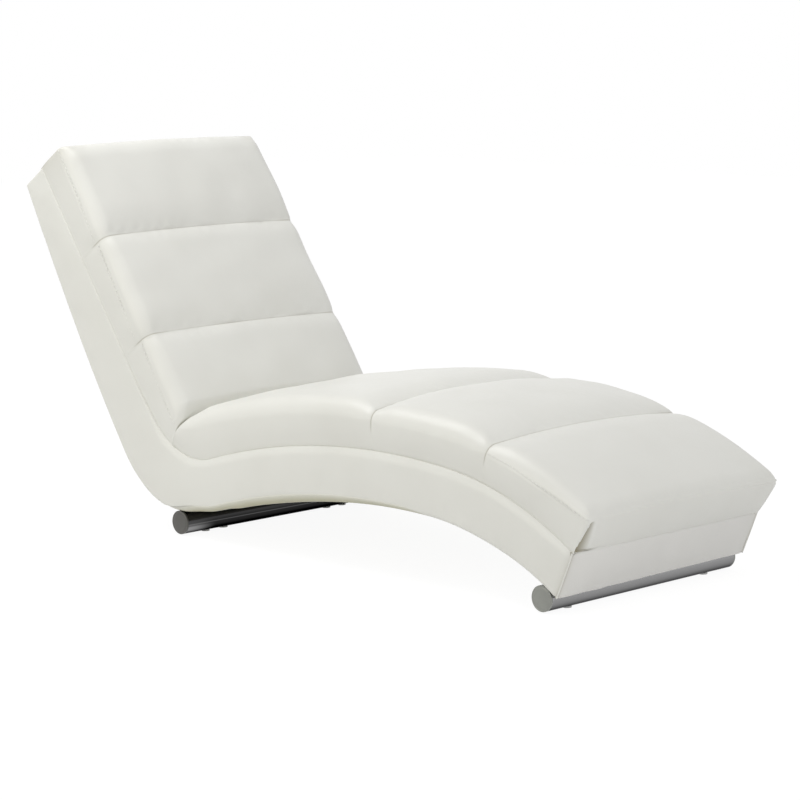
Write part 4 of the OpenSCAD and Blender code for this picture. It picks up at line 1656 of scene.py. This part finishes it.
    def piping(self, name: str) -> Piece:
        """Build the thin piping down both upright corners of the foot end.

        Formula: a circle carried down each corner's line, closed by a pole at both ends.

        Args:
            name: the piece's name.

        Returns:
            The piping's object.
        """
        deck = self.deck
        t = np.linspace(0.5, deck.foot_depth - 1.5, self.piping_places)
        turn = round_turns(self.piping_sides)[None, :, None]
        _, _, a = deck.at(np.array(deck.length))
        out, across = np.array([math.cos(a), 0.0, math.sin(a)]), np.array([0.0, 1.0, 0.0])
        points, faces = np.zeros((0, 3)), []
        back, inwards = self.piping_in
        for sign in (1.0, -1.0):
            station = deck.length + deck.foot_lean * t / deck.foot_depth - back
            side = sign * (deck.base_w / 2 - self.end_round - inwards)
            line = deck.place(station, side, self.foot_lift(side, t / deck.foot_depth) - t)
            ring = line[:, None] + self.piping_r * (np.cos(turn) * out + np.sin(turn) * across)
            more, blocks = closed_tube(ring, line[[0, -1]], len(points))
            points, faces = np.concatenate([points, more]), faces + blocks
        return mesh_object(name, points, faces)

    def end_panel(self, name: str, foot: bool) -> Piece:
        """Build the leather of one end as a low pillow between its seams.

        Args:
            name: the piece's name.
            foot: whether it is the foot end, which leans.

        Returns:
            The panel's object.
        """
        deck, half = self.deck, self.deck.base_w / 2 - self.end_round + 0.2
        depth = deck.foot_depth if foot else deck.head_depth
        ends = close_steps(7)
        y = np.concatenate([-half + ends * 15, np.linspace(-half + 19, half - 19, 90),
                            half - ends[::-1] * 15])
        t = np.concatenate([ends * 9, np.linspace(12, depth - 12, 20), depth - ends[::-1] * 9])
        grid_t, grid_y = np.meshgrid(t, y, indexing="ij")
        (side, side_reach), (top, top_reach), (low, low_reach) = self.end_drops
        drop = side * soft_valley(half - np.abs(grid_y), side_reach) + top * soft_valley(grid_t, top_reach)
        drop = drop + low * quarter_round(depth - grid_t, low_reach)
        swell = self.end_swell * (1 - (grid_y / half) ** 2) * np.sin(math.pi * grid_t / depth)
        height, wave = self.end_waves
        out = swell - drop + height * wrinkle(grid_y, grid_t, 81, wave)
        if foot:
            station = deck.length + deck.foot_lean * grid_t / depth + out
            grid = deck.place(station, grid_y, self.foot_lift(grid_y, grid_t / depth) - grid_t)
        else:
            grid = deck.place(-out, grid_y, -grid_t)
        _, _, a = deck.at(np.array(deck.length if foot else 0.0))
        way = 1.0 if foot else -1.0
        obj = open_sheet(name, grid, (way * math.cos(a), 0.0, way * math.sin(a)), self.leather_t)
        # Painted shade beside the piping, on the foot end only.
        set_painted_shade(obj, 0.9 * self.corner_painted_shade(half - np.abs(grid_y)) * foot)
        return obj

    def build(self, wardrobe: Wardrobe) -> None:
        """Build and dress the base's leather and hide the solids it stands for."""
        for sign, side in ((1.0, "left"), (-1.0, "right")):
            obj = self.side(sign, "side_leather_" + side)
            wardrobe.put_on(obj, Finish.BASE_LEATHER, LEATHER, "side_cover_" + side, "side_padding_" + side)
        under, deck = self.underside(), self.deck
        wardrobe.put_on(under, Finish.UNDERSIDE_LEATHER, LEATHER, "underside_cover")
        for foot, name, finish, nodes in (
                (False, "head_end_leather", Finish.BASE_LEATHER, ("head_end_cover",)),
                (True, "foot_end_leather", Finish.FOOT_LEATHER, ("foot_end_cover", "foot_end_padding"))):
            obj = self.end_panel(name, foot)
            wardrobe.put_on(obj, finish, LEATHER, *nodes)
        wardrobe.put_on(self.piping("foot_corner_piping"), Finish.BASE_LEATHER, LEATHER)


# Straps and lining


@dataclass(frozen=True)
class DeckSupport:
    """The elastic straps across the frame and the lining cloth over them."""

    deck: Deck
    strap_w: float = 50.0
    strap_t: float = 1.6
    strap_top: float = 1.6
    strap_y: float = 262.5
    lining_y: float = 256.0
    lining_t: float = 0.9
    dip: float = 0.12
    rib: float = 0.12
    rib_pitch: float = 5.0
    rib_room: float = 0.15

    def lining(self) -> Piece:
        """Build the lining cloth, stretched over the straps and dipping a little between them."""
        s = np.linspace(4.0, self.deck.length - 14.0, 300)
        y = np.linspace(-self.lining_y, self.lining_y, 60)
        grid_s, grid_y = np.meshgrid(s, y, indexing="ij")
        dip = self.dip * (1 - np.cos(2 * math.pi * grid_s / (2 * self.strap_w)))
        grid = self.deck.place(grid_s, grid_y, -0.05 - dip)
        obj = open_sheet("deck_lining_cloth", grid, (0.0, 0.0, 1.0), self.lining_t)
        set_uv(obj, np.stack([grid_y * MM, grid_s * MM], -1).reshape(-1, 2))
        return obj

    def straps(self, name: str, first: float, last: float) -> Piece:
        """Build a row of straps as closed ribbons with ribbed faces.

        Formula: a loop round the strap's thickness with fine waves on both faces, carried across
        the width.

        Args:
            name: the piece's name.
            first: station of the first strap's middle.
            last: highest station of a strap's middle.

        Returns:
            The straps' object.
        """
        w = np.linspace(-self.strap_w / 2, self.strap_w / 2, 41)
        rib = self.rib * np.cos(2 * math.pi * w / self.rib_pitch)
        loop_s = np.concatenate([w, w[::-1]])
        loop_h = -self.strap_top - np.concatenate([self.rib_room - rib,
                                                   self.strap_t - self.rib_room + rib[::-1]])
        y, cols = np.linspace(-self.strap_y, self.strap_y, 9)[:, None], len(loop_s)
        points, faces, uv, count = [], [], [], 0
        for mid in np.arange(first, last + 1, 2 * self.strap_w):
            grid = self.deck.place(mid + loop_s[None], y, loop_h[None])
            points.append(grid.reshape(-1, 3))
            uv.append(np.stack(np.broadcast_arrays(y * MM, loop_s[None] * MM), -1).reshape(-1, 2))
            faces += [grid_quads(len(y), cols, count, True), self.caps(count, cols, len(y))]
            count += len(points[-1])
        obj = mesh_object(name, np.concatenate(points), faces)
        set_uv(obj, np.concatenate(uv))
        return obj

    @staticmethod
    def caps(first: int, cols: int, rows: int) -> Array:
        """Quads that close both ends of a strap, from face to face."""
        k = np.arange(cols // 2 - 1)
        near = np.stack([first + k, first + k + 1, first + cols - 2 - k, first + cols - 1 - k], -1)
        far = near[:, ::-1] + (rows - 1) * cols
        return np.concatenate([near, far])

    def build(self, wardrobe: Wardrobe) -> None:
        """Build and dress the lining and the straps and hide the solids they stand for."""
        lining = self.lining()
        wardrobe.put_on(lining, Finish.LINING, "lining_cloth", "deck_lining")
        hip_end = self.deck.back_run + self.deck.hip_run
        for name, first, last, old in (
                ("back_straps", 100.0, self.deck.back_run - 50.0, "back_webbing"),
                ("seat_straps", hip_end + 50.0, self.deck.length - 62.0, "seat_webbing")):
            wardrobe.put_on(self.straps(name, first, last), Finish.WEBBING, "elastic_strap", old)


# Floor tubes


@dataclass(frozen=True)
class EndCaps:
    """The flat grey discs that close the floor tubes."""

    radius: float = 25.0
    thickness: float = 4.0
    round_edge: float = 1.1
    groove_at: float = 21.8
    collar: float = 2.2
    collar_gap: float = 0.2
    collar_length: float = 9.0
    sides: int = 96

    def cap(self, name: str, node_name: str) -> Piece:
        """Turn one end cap from its profile.

        Formula: the profile goes from the middle of the face over a faint dish and a thin groove
        to a rounded rim and down to the tube's mouth, and is carried round the tube's axis.

        Args:
            name: the piece's name.
            node_name: the CAD node that it stands for.

        Returns:
            The cap's object.
        """
        lo, hi = (np.array(v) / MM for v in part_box(node_name))
        centre = (lo + hi) / 2
        side = 1.0 if centre[1] > 0 else -1.0
        face = hi[1] if side > 0 else -lo[1]
        turn = np.linspace(0, math.pi / 2, 6)
        g, inner = self.groove_at, self.radius - self.collar
        base = self.thickness - self.collar_gap
        r = np.concatenate([[1.0, 6.0, 12.0, 17.0, g - 0.9, g - 0.45, g, g + 0.45, g + 0.9],
                            self.radius - self.round_edge + self.round_edge * np.sin(turn),
                            [self.radius, inner, inner]])[:, None]
        deep = np.concatenate([[0.25, 0.22, 0.16, 0.1, 0.02, 0.3, 0.45, 0.3, 0.0],
                               self.round_edge * (1 - np.cos(turn)),
                               [base, base, self.thickness + self.collar_length]])[:, None]
        a = round_turns(self.sides)
        rings = np.stack(np.broadcast_arrays(centre[0] + r * np.cos(a), side * (face - deep),
                                             centre[2] + r * np.sin(a)), -1)
        poles = np.array([[centre[0], side * (face - d), centre[2]] for d in (deep[0, 0], deep[-1, 0])])
        return mesh_object(name, *closed_tube(rings, poles))

    def build(self, wardrobe: Wardrobe) -> None:
        """Build and dress the four caps and hide the solids they stand for."""
        # The rear caps wear the darker copy of the satin finish, as painted shade.
        for end, finish in (("rear", Finish.REAR_CAP), ("front", Finish.SATIN_CAP)):
            for side in ("left", "right"):
                node_name = f"{end}_cap_{side}"
                obj = self.cap(f"{end}_end_cap_{side}", node_name)
                wardrobe.put_on(obj, finish, "satin_cap", node_name)


@dataclass(frozen=True)
class CarriedParts:
    """The frame's own pieces, which keep their shapes and get their finishes.

    Each finish goes to the nodes with its word in their names, and leather to the soft solids that
    are left.
    """

    finishes: tuple[tuple[str, Finish], ...] = (
        ("side_frame", Finish.PLYWOOD), ("_rail", Finish.TIMBER), ("_block", Finish.TIMBER),
        ("_tube", Finish.CHROME), ("glide", Finish.NYLON), ("plugs", Finish.NYLON), ("screws", Finish.ZINC),
        ("bolts", Finish.ZINC), ("washers", Finish.ZINC), ("nuts", Finish.ZINC),
        ("webbing", Finish.WEBBING), ("lining", Finish.LINING), ("cap", Finish.SATIN_CAP))

    def build(self, wardrobe: Wardrobe) -> None:
        """Dress every carried node."""
        for name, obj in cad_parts.items():
            finish = next((look for word, look in self.finishes if word in name), Finish.BASE_LEATHER)
            wardrobe.dress(obj, finish)


# Studio


@dataclass(frozen=True)
class Studio:
    """Camera, lamps, world and floor."""

    azimuth: float = 45.41
    elevation: float = 8.75
    roll: float = -0.327
    lens: float = 121.545
    sensor: float = 36.0
    camera_off_rear_tube: Triple = (4287.5, -3844.2, 1140.8)
    world_level: float = 0.58
    floor_half: float = 9000.0
    floor_top: float = -0.4
    floor_glow: float = 0.93
    floor_shade: float = 0.13

    def camera(self, rear_x: float) -> None:
        """Place the camera as it stood for the photograph.

        Formula: the view's back, right and up directions follow from azimuth and elevation, and
        right and up turn by the roll.

        Args:
            rear_x: the rear tube's place along X, in millimetres.
        """
        a, e, r = (math.radians(v) for v in (self.azimuth, self.elevation, self.roll))
        back = Vector((math.sin(a) * math.cos(e), -math.cos(a) * math.cos(e), math.sin(e)))
        right = Vector((math.cos(a), math.sin(a), 0.0))
        up = back.cross(right)
        right2, up2 = math.cos(r) * right + math.sin(r) * up, -math.sin(r) * right + math.cos(r) * up
        data = bpy.data.cameras.new("studio_camera")
        data.lens, data.sensor_width = self.lens, self.sensor
        data.clip_start, data.clip_end = 0.1, 100.0
        cam = bpy.data.objects.new("studio_camera", data)
        x, y, z = self.camera_off_rear_tube
        spot = Vector(((rear_x + x) * MM, y * MM, z * MM))
        cam.matrix_world = Matrix.Translation(spot) @ Matrix((right2, up2, back)).transposed().to_4x4()
        bpy.context.scene.collection.objects.link(cam)
        bpy.context.scene.camera = cam

    def lamp(self, name: str, spot: Triple, aim: Triple, size: Pair, watts: float,
             tint: Colour = (1.0, 1.0, 1.0)) -> None:
        """Add a soft rectangular lamp.

        Args:
            name: the lamp's name.
            spot: its place, in metres.
            aim: the point it faces.
            size: its width and height, in metres.
            watts: its power.
            tint: its colour.
        """
        data = bpy.data.lights.new(name, "AREA")
        data.shape, data.size, data.size_y, data.energy = "RECTANGLE", size[0], size[1], watts
        data.color = tint
        obj = bpy.data.objects.new(name, data)
        obj.location = spot
        obj.rotation_euler = (Vector(aim) - Vector(spot)).to_track_quat("-Z", "Y").to_euler()
        bpy.context.scene.collection.objects.link(obj)

    def world(self) -> None:
        """Light evenly from the world, which the camera, mirrors and glass see as white."""
        world = bpy.data.worlds.new("studio_world")
        world.use_nodes = True
        bpy.context.scene.world = world
        tree, back = Nodes(world.node_tree), world.node_tree.nodes["Background"]
        back.inputs["Color"].default_value = (1.0, 1.0, 1.0, 1.0)
        level = tree.maths("ADD", self.world_level,
                           tree.maths("MULTIPLY", self.seen_ray(tree), 1 - self.world_level))
        tree.link(level, back.inputs["Strength"])

    def floor(self) -> None:
        """Lay a pale floor that looks white to the camera and keeps a faint shadow."""
        line = np.linspace(-self.floor_half, self.floor_half, 13)
        grid_x, grid_y = np.meshgrid(line, line, indexing="ij")
        places = np.stack([grid_x, grid_y, np.full_like(grid_x, self.floor_top)], -1)
        obj = open_sheet("studio_floor", places, (0.0, 0.0, 1.0))
        mat, tree, shader = new_material("studio_floor")
        shader.inputs["Base Color"].default_value = (0.8, 0.8, 0.8, 1.0)
        shader.inputs["Roughness"].default_value = 0.9
        glow = tree.add("Emission", {"Color": (1.0, 1.0, 1.0, 1.0), "Strength": self.floor_glow})
        faint = tree.add("BsdfDiffuse", {"Color": (*(self.floor_shade,) * 3, 1.0)})
        seen_floor, mix = tree.add("AddShader"), tree.add("MixShader")
        tree.link(glow.outputs[0], seen_floor.inputs[0])
        tree.link(faint.outputs[0], seen_floor.inputs[1])
        tree.link(self.seen_ray(tree), mix.inputs[0])
        tree.link(shader.outputs[0], mix.inputs[1])
        tree.link(seen_floor.outputs[0], mix.inputs[2])
        tree.link(mix.outputs[0], mat.node_tree.nodes["Material Output"].inputs["Surface"])
        obj.data.materials.append(mat)

    @staticmethod
    def seen_ray(tree: Nodes) -> Socket:
        """One where the ray comes from the camera, a mirror or glass."""
        path = tree.add("LightPath")
        mirrors = tree.maths("MAXIMUM", path.outputs["Is Glossy Ray"], path.outputs["Is Transmission Ray"])
        return tree.maths("MAXIMUM", path.outputs["Is Camera Ray"], mirrors)

    def build(self, rear_x: float) -> None:
        """Set up the whole studio."""
        bpy.context.scene.view_settings.view_transform = "Standard"
        self.camera(rear_x)
        self.world()
        self.floor()
        self.lamp("key_lamp", (-0.9, -0.8, 2.5), (-0.1, 0.0, 0.3), (1.5, 1.5), 26.0)
        self.lamp("side_lamp", (-0.9, -3.6, 1.5), (0.0, 0.0, 0.3), (2.2, 1.8), 14.5, (1.0, 0.97, 0.78))
        self.lamp("foot_lamp", (3.6, -1.2, 1.0), (0.4, 0.0, 0.3), (1.8, 1.6), 17.4)


# Main


def deck_from_frame() -> tuple[Deck, float]:
    """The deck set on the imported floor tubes.

    Returns:
        The deck, and the rear tube's place along X in millimetres.
    """
    centres = []
    for name in ("rear_tube", "front_tube"):
        lo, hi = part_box(name)
        centres.append(np.array([(lo.x + hi.x) / 2, (lo.z + hi.z) / 2]) / MM)
    return Deck().levelled(*centres), float(centres[0][0])


def main() -> None:
    """Build, dress and report every sub-assembly, and set up the studio."""
    logging.basicConfig(level=logging.INFO, format="%(name)s: %(message)s")
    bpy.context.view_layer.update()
    deck, rear_x = deck_from_frame()
    log.info("deck leans %.4f degrees from (%.3f, %.3f)", math.degrees(deck.lean), *deck.start)
    wardrobe = Wardrobe()
    CarriedParts().build(wardrobe)
    DeckSupport(deck).build(wardrobe)
    BaseLeather(deck).build(wardrobe)
    CushionSet(deck).build(wardrobe)
    EndCaps().build(wardrobe)
    Studio().build(rear_x)


if __name__ == "__main__":
    main()
